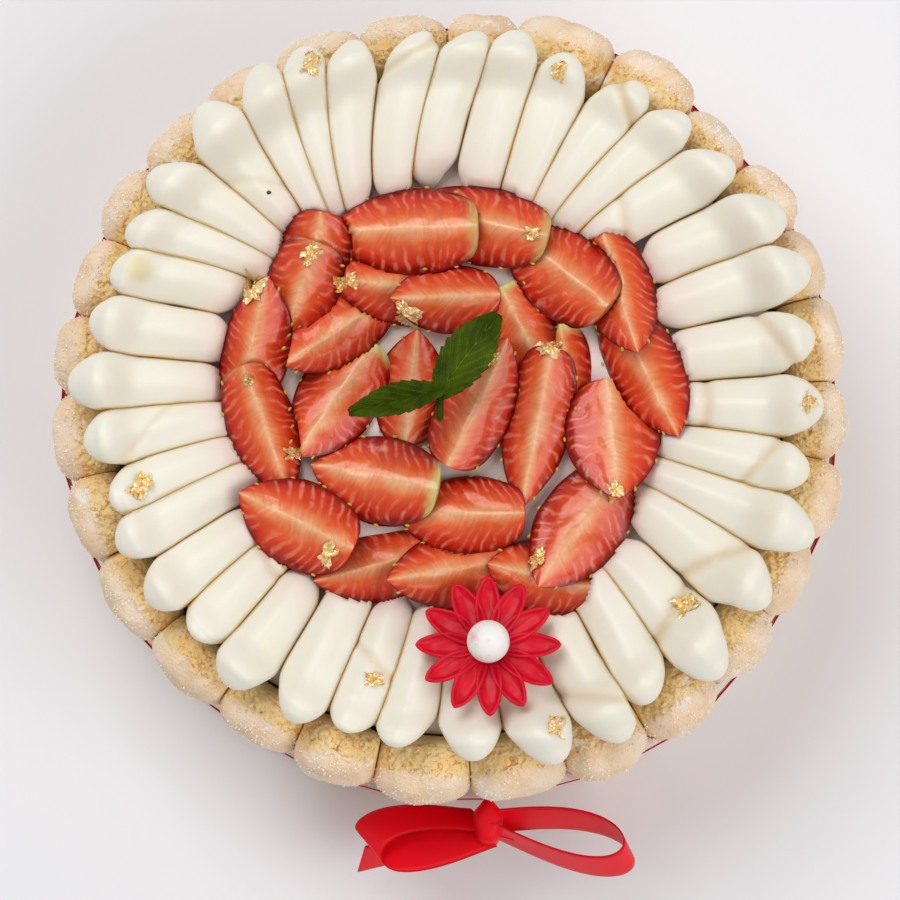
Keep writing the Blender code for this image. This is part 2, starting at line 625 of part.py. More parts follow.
def build_ribbon(fingers, material):
    """A band round the wall, tied at the front in a bow with two loops and two tails."""
    parts = bpy.data.collections.new("bow_parts")
    bpy.context.scene.collection.children.link(parts)
    ribbon = build_strip("ribbon", band_places(fingers), Vector((0, 0, 1)), material, cake, closed=True)
    left = loop_places(KNOT_CENTRE + Vector((-1, -0.5, 0)) * MM, -35.5 * MM, 7.0 * MM, 5.0 * MM, 2 * MM)
    right = loop_places(KNOT_CENTRE + Vector((1, -0.5, 0)) * MM, 42.3 * MM, 8.8 * MM, 8.0 * MM, 3 * MM)
    build_strip("left_loop", left, LEFT_LEAN, material, parts)
    build_strip("right_loop", right, RIGHT_LEAN, material, parts)
    for name, line, lean in (("left_tail", LEFT_TAIL, LEFT_TAIL_LEAN), ("right_tail", RIGHT_TAIL, RIGHT_TAIL_LEAN)):
        build_strip(name, [KNOT_CENTRE + Vector(p) * MM for p in line], lean, material, parts)
    shape = bmesh.new()
    bmesh.ops.create_uvsphere(shape, u_segments=10, v_segments=6, radius=1.0)
    bmesh.ops.scale(shape, vec=KNOT_RADII, verts=shape.verts)
    bmesh.ops.translate(shape, vec=KNOT_CENTRE, verts=shape.verts)
    new_object("knot", shape, material, parts)
    join_collection(ribbon, parts, "EXACT")
    return ribbon


sponge = new_material("sponge_finger", "#E2BC8B", 0.85)
mousse = new_material("cream_mousse", "#E3D3CB", 0.6)
cream = new_material("piped_cream", "#F1EFE3", 0.5)
berry = new_material("strawberry", "#D8492B", 0.3)
gold = new_material("gold_leaf", "#E3B565", 0.35)
red_sugar = new_material("red_sugar_paste", "#C3102A", 0.35)
white_sugar = new_material("white_sugar_paste", "#F3F0EC", 0.5)
mint_green = new_material("mint_leaf", "#3E6A12", 0.5)
satin = new_material("red_satin", "#C9101B", 0.35)

luck = random.Random(28)
build_mousse(mousse)
wall = [build_finger(i, sponge, luck) for i in range(len(FINGER_EDGES))]
cream_ring = build_cream(cream)
berries = build_strawberries(berry, cream_ring)
lay_gold([cream_ring] + berries, gold, luck)
build_daisy(red_sugar, luck)
build_ball(white_sugar)
build_mint(mint_green)
build_ribbon(wall, satin)
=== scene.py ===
"""A strawberry charlotte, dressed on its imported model.

Mousse, sponge fingers, sugar, piped cream, fruit, gold, sugar flower, mint and satin, in the order in which
they are put together. The origin is the middle of the base, +Z is up and the bow faces -Y. Sizes are in
metres, with MM for millimetres.
"""

import math
import random

import bpy
from mathutils import Matrix, Vector, noise
from mathutils.bvhtree import BVHTree
from mathutils.geometry import convex_hull_2d


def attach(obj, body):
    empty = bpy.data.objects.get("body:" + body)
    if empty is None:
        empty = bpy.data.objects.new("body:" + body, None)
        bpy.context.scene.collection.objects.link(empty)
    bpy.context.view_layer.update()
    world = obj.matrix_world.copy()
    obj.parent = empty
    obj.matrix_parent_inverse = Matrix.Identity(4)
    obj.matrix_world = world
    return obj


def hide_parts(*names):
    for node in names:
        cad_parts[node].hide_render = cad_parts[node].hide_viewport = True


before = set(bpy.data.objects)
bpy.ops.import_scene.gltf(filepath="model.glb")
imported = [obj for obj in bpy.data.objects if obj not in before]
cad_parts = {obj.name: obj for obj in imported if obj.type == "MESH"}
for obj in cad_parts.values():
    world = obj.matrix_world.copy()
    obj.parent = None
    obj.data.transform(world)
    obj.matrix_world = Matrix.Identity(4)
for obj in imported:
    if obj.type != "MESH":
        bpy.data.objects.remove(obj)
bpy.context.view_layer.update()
MM = 0.001


# The studio. A plain pale floor, one broad soft lamp high on the left, a weaker one opposite, and a bright
# even surround, seen by a camera that looks almost straight down from a little in front of the cake.
def linear(code):
    """An sRGB hex colour as the linear values that the shaders take."""
    parts = [int(code[i:i + 2], 16) / 255 for i in (1, 3, 5)]
    return [p / 12.92 if p <= 0.04045 else ((p + 0.055) / 1.055) ** 2.4 for p in parts] + [1.0]


def add(material, kind, settings):
    """Adds one node: lower-case names set its properties, others its sockets, by a value or by a link."""
    tree = material.node_tree
    node = tree.nodes.new("ShaderNode" + kind)
    for name, value in settings.items():
        if name == "stops":
            ramp = node.color_ramp
            while len(ramp.elements) < len(value):
                ramp.elements.new(1.0)
            for element, (place, colour) in zip(ramp.elements, value):
                element.position = place
                element.color = linear(colour) if isinstance(colour, str) else [colour] * 3 + [1.0]
        elif isinstance(name, str) and name[0].islower():
            setattr(node, name, value)
        elif isinstance(value, bpy.types.NodeSocket):
            tree.links.new(value, node.inputs[name])
        else:
            node.inputs[name].default_value = value
    return node


def finish_of(name, settings):
    """A new material whose Principled shader takes the given plain values."""
    material = bpy.data.materials.new(name)
    material.use_nodes = True
    shader = material.node_tree.nodes["Principled BSDF"]
    for socket, value in settings.items():
        shader.inputs[socket].default_value = linear(value) if isinstance(value, str) else value
    return material, shader


bpy.ops.object.select_all(action="DESELECT")
bpy.ops.mesh.primitive_plane_add(size=6.0, location=(0, 0, -0.5 * MM))
floor = bpy.context.object
floor.name = "studio_floor"
# Matt white paper: no gloss, so the floor stays one even tone.
paper, _ = finish_of("studio_paper", {"Base Color": "#EDEEF1", "Roughness": 0.95, "Specular IOR Level": 0.1})
floor.data.materials.append(paper)

world = bpy.data.worlds.new("studio")
bpy.context.scene.world = world
world.use_nodes = True
world.node_tree.nodes["Background"].inputs["Color"].default_value = linear("#FFFEFD")
world.node_tree.nodes["Background"].inputs["Strength"].default_value = 0.40
# Each lamp's name, place, width in metres and power in watts
LAMPS = (("key", (-0.5, 0.65, 1.25), 0.9, 11.0), ("fill", (0.95, -0.6, 1.1), 1.2, 10.5))
for name, place, size, power in LAMPS:
    lamp = bpy.data.lights.new(name, "AREA")
    lamp.energy = power
    lamp.size = size
    light = bpy.data.objects.new(name, lamp)
    bpy.context.scene.collection.objects.link(light)
    light.location = place
    light.rotation_euler = (Vector((0, 0, 0.06)) - Vector(place)).to_track_quat("-Z", "Y").to_euler()

camera_data = bpy.data.cameras.new("camera")
camera_data.sensor_width = 36.0
camera_data.lens = 153.9
camera_data.clip_start = 0.05
camera = bpy.data.objects.new("camera", camera_data)
bpy.context.scene.collection.objects.link(camera)
target = Vector((-0.2, -15.9, 75.0)) * MM
azimuth, elevation, distance = math.radians(-2.0), math.radians(84.5), 1.15
back = Vector((math.sin(azimuth) * math.cos(elevation), -math.cos(azimuth) * math.cos(elevation),
               math.sin(elevation)))
camera.location = target + back * distance
camera.rotation_euler = (-back).to_track_quat("-Z", "Y").to_euler()
camera.rotation_euler.rotate_axis("Z", -azimuth)
bpy.context.scene.camera = camera
bpy.context.scene.view_settings.view_transform = "Standard"


# The mousse. A low drum of set vanilla mousse that fills the wall of fingers and is smoothed flat with a
# palette knife, with a soft swell in the middle. Only its top shows, in the gaps of the fruit.
WALL_INNER = 101.0 * MM
MOUSSE_TOP = 63.0 * MM
MOUSSE_SWELL = 3.5 * MM
MOUSSE_EDGE = 1.5 * MM
# The drum's grid runs over its top to the first share, down its side to the second, and in over its foot
DRUM_TOP, DRUM_SIDE = 0.6, 0.9


def smooth_step(value, low, high):
    """Rises smoothly from 0 at low to 1 at high."""
    share = min(max((value - low) / (high - low), 0.0), 1.0)
    return share * share * (3.0 - 2.0 * share)


def mousse_height(radius):
    """The mousse's top, flat under the cream and gently domed under the fruit."""
    return MOUSSE_TOP + MOUSSE_SWELL * (1.0 - smooth_step(radius, 42 * MM, 72 * MM))


def model(name, columns, rows, place, material, weld=True):
    """A grid bent into a form by place(across, along), then welded where its edges meet."""
    bpy.ops.object.select_all(action="DESELECT")
    bpy.ops.mesh.primitive_grid_add(x_subdivisions=columns, y_subdivisions=rows, size=1.0)
    piece = bpy.context.object
    piece.name = piece.data.name = name
    for vertex in piece.data.vertices:
        vertex.co = place(vertex.co.x + 0.5, vertex.co.y + 0.5)
    if weld:
        bpy.ops.object.mode_set(mode="EDIT")
        bpy.ops.mesh.select_all(action="SELECT")
        bpy.ops.mesh.remove_doubles(threshold=0.01 * MM)
        bpy.ops.mesh.normals_make_consistent(inside=False)
        bpy.ops.object.mode_set(mode="OBJECT")
    bpy.ops.object.shade_smooth()
    piece.data.materials.append(material)
    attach(piece, "root")
    return piece


def marks_apart(size):
    """The scale of a pattern whose marks lie about this many millimetres apart."""
    return 1 / (size * MM)


# Set mousse: fine bubbles make it matt and let a little light in, and the knife leaves faint swirls on it.
mousse, shader = finish_of("set_mousse", {
    "Base Color": "#E9D9CF", "Roughness": 0.55, "Subsurface Weight": 0.25, "Subsurface Scale": 3 * MM,
    "Subsurface Radius": (1.0, 0.55, 0.4)})
place = add(mousse, "TexCoord", {}).outputs["Object"]
swirl = add(mousse, "TexNoise", {"Vector": place, "Scale": marks_apart(11.11), "Detail": 3.0})
tint = add(mousse, "ValToRGB", {"Fac": swirl.outputs["Fac"], "stops": [(0.3, "#E4D0C6"), (0.7, "#EFE4DB")]})
mousse.node_tree.links.new(tint.outputs["Color"], shader.inputs["Base Color"])
knife = add(mousse, "Bump", {"Height": swirl.outputs["Fac"], "Strength": 0.25, "Distance": 0.8 * MM})
mousse.node_tree.links.new(knife.outputs["Normal"], shader.inputs["Normal"])


def mousse_place(across, along):
    """The drum from a wrapped grid: top, side and foot, with a soft edge."""
    turn = math.tau * across
    rim = WALL_INNER - 0.6 * MM
    if along < DRUM_TOP:
        radius = rim * along / DRUM_TOP
        spot = Vector((radius * math.cos(turn), radius * math.sin(turn), 0))
        height = mousse_height(radius) + 0.35 * MM * noise.noise(spot * 60)
        height -= MOUSSE_EDGE * smooth_step(radius, rim - 2 * MM, rim)
    elif along < DRUM_SIDE:
        radius = rim
        height = (MOUSSE_TOP - MOUSSE_EDGE) * (DRUM_SIDE - along) / (DRUM_SIDE - DRUM_TOP)
    else:
        radius = rim * max((1.0 - along) / (1.0 - DRUM_SIDE), 0.0)
        height = 0.0
    return Vector((radius * math.sin(turn), radius * math.cos(turn), height))


drum = model("mousse_drum", 96, 70, mousse_place, mousse)
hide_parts("cake_body")


# The wall of sponge fingers. Twenty-eight piped and baked biscuits stand side by side, flat and golden
# inside, domed outside under a pale cracked crust of icing sugar, with open pores along their top edge.
WALL_OUTER = 120.5 * MM
FINGER_HEIGHT = 74.0 * MM
FINGER_DOME = 12.5 * MM
FINGER_PINCH = 2.2 * MM
FINGER_CONTACT = 5.5 * MM
FINGER_SQUARE = 0.8
# A finger's grid runs over its round top to the first share, down its sides to the second, then over its foot
FINGER_TOP, FINGER_SIDE = 0.34, 0.94
# How square its section is: outside it is nearly a circle, inside nearly flat
OUTSIDE_POWER, INSIDE_POWER = 2.6, 4.5
RIBBON_HEIGHT = 38.0 * MM
# Where each finger begins, in degrees clockwise from the back, and how far it stands out, in millimetres
FINGER_EDGES = (-0.5, 10.4, 25.5, 39.2, 51.3, 63.0, 74.0, 87.0, 99.0, 111.5, 124.0, 136.8, 149.5, 162.5,
                177.0, 191.5, 204.2, 217.5, 231.2, 245.4, 258.0, 271.0, 283.0, 295.5, 307.5, 320.0,
                332.5, 346.0)
FINGER_BULGE = (-0.8, 1.6, 3.0, -1.9, 1.0, 0.2, -0.3, -0.8, 0.6, -0.1, 0.4, 2.0, 1.8, 0.8,
                0.6, -0.5, -2.0, -1.9, -0.7, -0.6, 0.4, 0.0, -1.1, 0.6, -0.3, -0.8, -1.0, -1.4)

# Baked sponge: a dry open crumb, so it is matt, golden where it touched a neighbour, and pale and cracked
# where the icing sugar on it crusted in the oven.
sponge, shader = finish_of("baked_sponge", {
    "Roughness": 0.85, "Specular IOR Level": 0.25, "Subsurface Weight": 0.15, "Subsurface Scale": 2 * MM,
    "Subsurface Radius": (1.0, 0.6, 0.3)})
place = add(sponge, "TexCoord", {}).outputs["Object"]
side = add(sponge, "Attribute", {"attribute_name": "outside"}).outputs["Fac"]
crown = add(sponge, "Attribute", {"attribute_name": "crown"}).outputs["Fac"]
wash = add(sponge, "TexNoise", {"Vector": place, "Scale": marks_apart(9.091), "Detail": 3.0}).outputs["Fac"]
crumb = add(sponge, "ValToRGB", {"Fac": wash, "stops": [(0.3, "#F0C684"), (0.7, "#FADEA2")]})
crust = add(sponge, "ValToRGB", {"Fac": wash, "stops": [
    (0.3, "#F0CCA8"), (0.5, "#F5DABA"), (0.7, "#F7E2CE")]})
body = add(sponge, "Mix", {"data_type": "RGBA", 0: side, 6: crumb.outputs[0], 7: crust.outputs[0]})
# Toasted sugar and open pores show as short orange-brown dashes, thick on the crown and few on the crust.
specks = add(sponge, "TexNoise", {
    "Vector": place, "Scale": marks_apart(1.613), "Detail": 2.0, "Distortion": 1.2}).outputs["Fac"]
patchy = add(sponge, "TexNoise", {
    "Vector": place, "Scale": marks_apart(6.667), "Detail": 2.0}).outputs["Fac"]
few = add(sponge, "Math", {"operation": "MULTIPLY_ADD", 0: crown, 1: 0.13, 2: specks})
both = add(sponge, "Math", {"operation": "MULTIPLY_ADD", 0: patchy, 1: 0.14, 2: few.outputs[0]})
toast = add(sponge, "ValToRGB", {"Fac": both.outputs[0], "stops": [(0.755, 0.0), (0.85, 0.85)]})
toasted = add(sponge, "Mix", {
    "data_type": "RGBA", 0: toast.outputs[0], 6: body.outputs[2], 7: linear("#DB9448")})
drift = add(sponge, "TexNoise", {
    "Vector": place, "Scale": marks_apart(10.53), "Detail": 6.0, "Roughness": 0.75}).outputs["Fac"]
dusting = add(sponge, "ValToRGB", {"Fac": drift, "stops": [(0.58, 0.0), (0.65, 0.8)]})
dusted = add(sponge, "Mix", {
    "data_type": "RGBA", 0: dusting.outputs[0], 6: toasted.outputs[2], 7: linear("#F8F1EA")})
sponge.node_tree.links.new(dusted.outputs[2], shader.inputs["Base Color"])
pores = add(sponge, "TexVoronoi", {"Vector": place, "Scale": marks_apart(1.613)}).outputs["Distance"]
grit = add(sponge, "TexNoise", {"Vector": place, "Scale": marks_apart(0.7692), "Detail": 3.0}).outputs["Fac"]
open_pores = add(sponge, "Math", {"operation": "MULTIPLY", 0: pores, 1: crown})
rough = add(sponge, "Math", {"operation": "MULTIPLY_ADD", 0: open_pores.outputs[0], 1: 1.6, 2: grit})
relief = add(sponge, "Bump", {"Height": rough.outputs[0], "Strength": 0.7, "Distance": 0.7 * MM})
sponge.node_tree.links.new(relief.outputs["Normal"], shader.inputs["Normal"])


def weld_all(pieces, name):
    """Joins pieces to one mesh and welds the open edges of each grid."""
    bpy.ops.object.select_all(action="DESELECT")
    for piece in pieces:
        piece.select_set(True)
    bpy.context.view_layer.objects.active = pieces[0]
    if len(pieces) > 1:
        bpy.ops.object.join()
    whole = bpy.context.object
    whole.name = whole.data.name = name
    bpy.ops.object.mode_set(mode="EDIT")
    bpy.ops.mesh.select_all(action="SELECT")
    bpy.ops.mesh.remove_doubles(threshold=0.004 * MM)
    bpy.ops.mesh.normals_make_consistent(inside=False)
    bpy.ops.object.mode_set(mode="OBJECT")
    return whole


def polar(angle, radius, height):
    """A point at an angle clockwise from the back, in degrees."""
    turn = math.radians(angle)
    return Vector((radius * math.sin(turn), radius * math.cos(turn), height))


def bake_finger(index, height, material):
    """One finger from a wrapped grid: round top, sides pressed flat by its neighbours, and a flat foot."""
    start = FINGER_EDGES[index]
    end = FINGER_EDGES[index + 1] if index + 1 < len(FINGER_EDGES) else FINGER_EDGES[0] + 360
    middle = (start + end) / 2
    half_angle = math.radians(end - start) / 2
    outer = WALL_OUTER + FINGER_BULGE[index] * MM
    centre = (outer + WALL_INNER) / 2
    half_depth = (outer - WALL_INNER) / 2
    half_width = math.tan(half_angle) * (centre + FINGER_CONTACT)
    marks = []

    def finger_place(across, along):
        turn = math.tau * across
        lean = 0.0
        if along < FINGER_TOP:
            lean = along / FINGER_TOP * math.pi / 2
            spread = math.sin(lean) ** FINGER_SQUARE
            rise = height - FINGER_DOME * (1 - math.cos(lean) ** FINGER_SQUARE)
        elif along < FINGER_SIDE:
            spread = 1.0
            rise = (height - FINGER_DOME) * (FINGER_SIDE - along) / (FINGER_SIDE - FINGER_TOP)
        else:
            spread, rise = max((1.0 - along) / (1.0 - FINGER_SIDE), 0.0), 0.0
        x, y = math.sin(turn), math.cos(turn)
        power = OUTSIDE_POWER if y > 0 else INSIDE_POWER
        reach = spread / (abs(x) ** power + abs(y) ** power) ** (1 / power)
        depth = reach * y
        spot = polar(middle, centre + depth * half_depth, rise)
        spot += polar(middle + 90, reach * x * half_width, 0)
        ridge = smooth_step(rise, height - 9 * MM, height - 2 * MM)
        ridge *= 1 - smooth_step(abs(depth + 0.25), 0.25, 0.7)
        swell = 1.0 * MM * noise.noise(spot * 60) + 0.9 * MM * noise.noise(spot * 150)
        crack = max(0.12 - abs(noise.noise(spot * 240)), 0.0) / 0.12
        pit = max(noise.noise(spot * 480) - 0.05, 0.0)
        swell -= (0.5 * crack * (0.4 + ridge) + 1.5 * pit * ridge) * MM
        out = centre + depth * half_depth + y * swell * (1.0 if y > 0 else 0.3)
        if y > 0:
            drawn_in = smooth_step(rise, 0, RIBBON_HEIGHT) * 0.6 + 0.4
            out -= FINGER_PINCH * y * drawn_in * (1 - smooth_step(rise, RIBBON_HEIGHT + 4 * MM, 58 * MM))
        limit = math.tan(half_angle) * out - 0.15 * MM
        sideways = min(max(reach * x * (half_width + swell * 0.5), -limit), limit)
        if lean and along > 0:
            rise += swell * math.cos(lean)
        crust_mark = smooth_step(depth, 0.0, 0.35) if y > 0 else 0.0
        marks.append((crust_mark, min(ridge + 0.25 * (1 - crust_mark), 1.0)))
        return polar(middle, out, max(rise, 0.0)) + polar(middle + 90, sideways, 0)

    finger = model(f"sponge_finger_{index + 1:02d}", 76, 96, finger_place, material, weld=False)
    for name, values in zip(("outside", "crown"), zip(*marks)):
        finger.data.attributes.new(name, "FLOAT", "POINT").data.foreach_set("value", values)
    return weld_all([finger], finger.name)


luck = random.Random(28)
fingers = []
for index in range(len(FINGER_EDGES)):
    height = FINGER_HEIGHT + luck.uniform(-1.5, 1.0) * MM
    finger = bake_finger(index, height, sponge)
    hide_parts(f"ladyfinger_{index + 1:02d}")
    fingers.append(finger)


# The sugar. Coarse crystals strewn over the outer crust before baking, where they stuck in drifts on the damp
# batter and set hard in the oven. Each stays a rough cube of its own.
SUGAR_GRAINS = 9000
SMALLEST_FACE = 0.01 * MM * MM

# Coarse sugar: clear angular grains that sparkle white, with a honey tint where the oven caught them.
sugar, shader = finish_of("sugar_crystals", {
    "Base Color": "#FBF6EF", "Roughness": 0.25, "Subsurface Weight": 0.3, "Subsurface Scale": 1 * MM})
place = add(sugar, "TexCoord", {}).outputs["Object"]
tint = add(sugar, "TexNoise", {"Vector": place, "Scale": marks_apart(2.5)}).outputs["Fac"]
glassy = add(sugar, "ValToRGB", {"Fac": tint, "stops": [(0.4, "#F1E0C8"), (0.6, "#FFF9F0")]})
sugar.node_tree.links.new(glassy.outputs[0], shader.inputs["Base Color"])


def strew(pieces, count, material, chance):
    """Small rough cubes over the crust of the fingers, more where they drifted together."""
    bpy.ops.object.select_all(action="DESELECT")
    bpy.ops.mesh.primitive_cube_add(size=1.0)
    grain = bpy.context.object
    grain.name = grain.data.name = "sugar_crystals"
    corners = [v.co.copy() for v in grain.data.vertices]
    sides = [tuple(f.vertices) for f in grain.data.polygons]
    points, faces = [], []
    while len(faces) < count * len(sides):
        mesh = chance.choice(pieces).data
        face = chance.choice(mesh.polygons)
        spot = face.center
        crusted = mesh.attributes["outside"].data[face.vertices[0]].value
        drifted = noise.noise(spot * 60) + 0.5 * noise.noise(spot * 200)
        if crusted < 0.3 or face.area < SMALLEST_FACE or drifted < chance.uniform(-0.5, 0.9):
            continue
        if face.normal.z < -0.2:
            continue
        size = chance.uniform(0.25, 0.48) * MM
        turn = Matrix.Rotation(chance.uniform(0, math.tau), 3, Vector((chance.random(), chance.random(), 1)))
        first = len(points)
        points += [spot + face.normal * size * 0.3 + turn @ (corner * size) for corner in corners]
        faces += [tuple(first + i for i in side) for side in sides]
    grain.data.clear_geometry()
    grain.data.from_pydata(points, [], faces)
    grain.data.materials.append(material)
    return grain


crystals = strew(fingers, SUGAR_GRAINS, sugar, luck)
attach(crystals, "root")


# The piped cream. Whipped white-chocolate cream from a wide round nozzle: thirty-seven plump petals, each
# with a blunt tip leaning on the fingers and a tail drawn in to the middle, smooth and slightly satiny.
# Each petal's tip and tail: their angles in degrees, then their distances from the middle in millimetres
PETALS = (
    (4.1, -5.7, 110, 69), (10.7, 7.9, 112, 63), (19.2, 18.8, 109, 60), (31.3, 25.6, 110, 62),
    (39.9, 32.7, 110, 62), (50.0, 41.4, 110, 64), (61.1, 56.6, 114, 72), (70.2, 66.2, 114, 67),
    (80.7, 79.9, 110, 66), (91.8, 91.5, 111, 67), (102.4, 101.7, 109, 64), (111.9, 109.8, 116, 61),
    (123.5, 117.8, 113, 61), (136.2, 133.9, 116, 64), (147.0, 141.8, 109, 65), (153.5, 156.3, 115, 68),
    (164.0, 168.8, 114, 66), (176.4, 176.7, 109, 66), (189.1, 185.1, 106, 64), (197.3, 194.5, 105, 64),
    (205.9, 206.4, 108, 63), (217.4, 218.8, 109, 69), (226.7, 228.6, 105, 68), (235.5, 237.4, 109, 69),
    (245.2, 249.7, 109, 64), (252.5, 256.1, 106, 67), (262.4, 265.0, 110, 67), (271.7, 273.5, 114, 70),
    (281.9, 283.9, 110, 70), (290.3, 297.3, 108, 71), (297.5, 305.2, 109, 69), (306.5, 311.2, 112, 69),
    (319.2, 318.2, 115, 72), (329.5, 325.0, 115, 67), (336.8, 328.8, 114, 67), (344.4, 333.9, 111, 66),
    (355.6, 345.2, 110, 65),
)
PETAL_HALF_WIDTH = 9.3 * MM
PETAL_WIDEST = 0.32
PETAL_TAPER = 0.48
PETAL_TAIL = 0.2
PETAL_TUCK = 4.0 * MM
# Where the nozzle stopped or turned back a petal has a fold: its share of the way in, depth in mm and slant
FOLDS = {3: (0.15, 2.0, 0.10), 5: (0.7, 1.0, 0.1), 8: (0.24, 1.6, -0.08), 9: (0.72, 1.2, 0.0),
         10: (0.3, 1.5, 0.10), 12: (0.36, 1.8, 0.12), 13: (0.42, 1.8, -0.05), 15: (0.3, 1.2, 0.1),
         17: (0.6, 1.0, 0.15), 19: (0.5, 1.2, 0.1), 22: (0.78, 1.4, 0.03), 26: (0.4, 0.8, 0.2),
         32: (0.6, 0.7, 0.15), 36: (0.14, 1.6, -0.08)}
FOLD_WIDTH = 0.035
# A faint yellow stain on one petal, and a smaller one on the next, each with its radius
STAINS = ((Vector((-92.6, 37.3)) * MM, 5.5 * MM), (Vector((-95.0, 52.0)) * MM, 1.6 * MM))

# Whipped cream with white chocolate: rich in fat, so it is ivory and softly satiny, and light goes into it.
# It is painted yellower in the seams and folds, as painted shade, and its tails are painted a pinkish grey,
# as painted shade under the fruit.
cream, shader = finish_of("whipped_cream", {
    "Roughness": 0.42, "Specular IOR Level": 0.35, "Subsurface Weight": 0.35, "Subsurface Scale": 4 * MM,
    "Subsurface Radius": (1.0, 0.75, 0.5)})
place = add(cream, "TexCoord", {}).outputs["Object"]
seam = add(cream, "Attribute", {"attribute_name": "seam"}).outputs["Fac"]
tail = add(cream, "Attribute", {"attribute_name": "tail"}).outputs["Fac"]
cloud = add(cream, "TexNoise", {"Vector": place, "Scale": marks_apart(16.67), "Detail": 2.0}).outputs["Fac"]
ivory = add(cream, "ValToRGB", {"Fac": cloud, "stops": [(0.3, "#EDE9D9"), (0.7, "#F0ECE0")]})
# Painted shade: towards their tails the petals are painted a pinkish grey, under the fruit.
tail_shade = add(cream, "Mix", {"data_type": "RGBA", 0: tail, 6: ivory.outputs[0], 7: linear("#EBDDD2")})
stain = add(cream, "Attribute", {"attribute_name": "stain"}).outputs["Fac"]
stained = add(cream, "Mix", {"data_type": "RGBA", 0: stain, 6: tail_shade.outputs[2], 7: linear("#E6D9A4")})
# Painted shade: the seams where the petals meet, and their folds, are painted ochre.
edge = add(cream, "Mix", {"data_type": "RGBA", 0: seam, 6: stained.outputs[2], 7: linear("#D9B56A")})
cream.node_tree.links.new(edge.outputs[2], shader.inputs["Base Color"])
grain = add(cream, "TexNoise", {"Vector": place, "Scale": marks_apart(2.381), "Detail": 2.0}).outputs["Fac"]
satin_skin = add(cream, "Bump", {"Height": grain, "Strength": 0.08, "Distance": 0.4 * MM})
cream.node_tree.links.new(satin_skin.outputs["Normal"], shader.inputs["Normal"])


def cream_floor(radius):
    """What the cream rests on: the mousse, then up over the rounded tops of the fingers."""
    rise = FINGER_HEIGHT + 1.7 * MM - MOUSSE_TOP
    return MOUSSE_TOP + 0.3 * MM + rise * smooth_step(radius, 93 * MM, 106 * MM)


def petal_angle(petal, radius):
    """The angle at which a petal's middle line passes a given distance from the axis."""
    tip_angle, tail_angle, tip, end = petal
    share = (radius / MM - end) / (tip - end)
    return tail_angle + (tip_angle - tail_angle) * min(max(share, 0.0), 1.0)


def petal_fullness(share):
    """A petal's width along its length: an egg's round end, then a taper to a small round tail."""
    if share < PETAL_WIDEST:
        return math.sqrt(max(1.0 - (1.0 - share / PETAL_WIDEST) ** 2, 0.0))
    taper = 1.0 - PETAL_TAPER * ((share - PETAL_WIDEST) / (1.0 - PETAL_WIDEST)) ** 1.4
    tail = max((share - 1.0 + PETAL_TAIL) / PETAL_TAIL, 0.0)
    return taper * math.sqrt(max(1.0 - tail * tail, 0.0))


def pipe_petal(index, material):
    """One petal, pressed flat against its neighbours, with painted seam shade, tail and stain marked for the
    colour.
    """
    petal, before, after = PETALS[index], PETALS[index - 1], PETALS[(index + 1) % len(PETALS)]
    tip, end = petal[2] * MM, petal[3] * MM - PETAL_TUCK
    marks = []

    def petal_place(across, along):
        turn = math.tau * across
        share = (1.0 - math.cos(math.pi * along)) / 2.0
        radius = tip + (end - tip) * share
        half_width = PETAL_HALF_WIDTH * petal_fullness(share)
        sideways, upward = math.sin(turn), math.cos(turn)
        own_angle = petal_angle(petal, radius)
        neighbour = after if sideways > 0 else before
        apart = abs((petal_angle(neighbour, radius) - own_angle + 180) % 360 - 180)
        limit = radius * math.radians(apart) / 2 + 0.1 * MM
        spread = smooth_step(share, 0.15, 0.35) * (1 - smooth_step(share, 0.75, 0.95))
        wide = half_width + (max(half_width, min(limit, 1.5 * half_width)) - half_width) * spread
        fold_share, fold_depth, slant = FOLDS.get(index, (0.5, 0.0, 0.0))
        fold = math.exp(-((share - fold_share - slant * sideways) / FOLD_WIDTH) ** 2) * fold_depth * MM
        wide -= 0.5 * fold
        out = sideways * wide * (1 + 0.1 * noise.noise(Vector((index * 7.3, along * 3, sideways))))
        height = cream_floor(radius) + max(half_width * 0.9, (6.0 - 7.5 * share) * MM)
        height += upward * half_width * 0.95
        height += 0.35 * MM * noise.noise(Vector((index * 3.1, along * 4, sideways * 1.5)))
        ridge_at = 0.45 * noise.noise(Vector((index * 5.7, share * 1.5, 3.0)))
        facet = max(1.0 - abs(sideways - ridge_at) / 0.5, 0.0) if upward > 0 else 0.0
        height += 1.2 * MM * facet * math.sin(math.pi * min(share * 1.1, 1.0)) - fold * max(upward, 0.0)
        meets = smooth_step(abs(out), limit - 0.7 * MM, limit)
        out = min(max(out, -limit), limit)
        spot = polar(own_angle, radius, 0) + polar(own_angle + 90, out, 0)
        spot.z = max(height, cream_floor(spot.length) + 0.2 * MM)
        stained = max(1.0 - smooth_step((spot.xy - middle).length, 0.4 * size, size)
                      for middle, size in STAINS)
        # The first mark is painted shade, dark where the petal meets a neighbour and in its folds.
        marks.append((min(meets + 0.25 * fold / MM, 1.0), smooth_step(share, 0.55, 1.0), 0.7 * stained))
        return spot

    petal_piece = model(f"petal_{index + 1:02d}", 44, 58, petal_place, material, weld=False)
    for name, values in zip(("seam", "tail", "stain"), zip(*marks)):
        petal_piece.data.attributes.new(name, "FLOAT", "POINT").data.foreach_set("value", values)
    return petal_piece


ring = weld_all([pipe_petal(i, cream) for i in range(len(PETALS))], "piped_petals")
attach(ring, "root")
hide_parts("piped_cream")


# The fleck. One crumb of leaf that fell from the mint on the cream at the back left and stuck there, smaller
# than a peppercorn.
FLECK_HALF_SIZE = Vector((0.9, 0.6, 0.25)) * MM

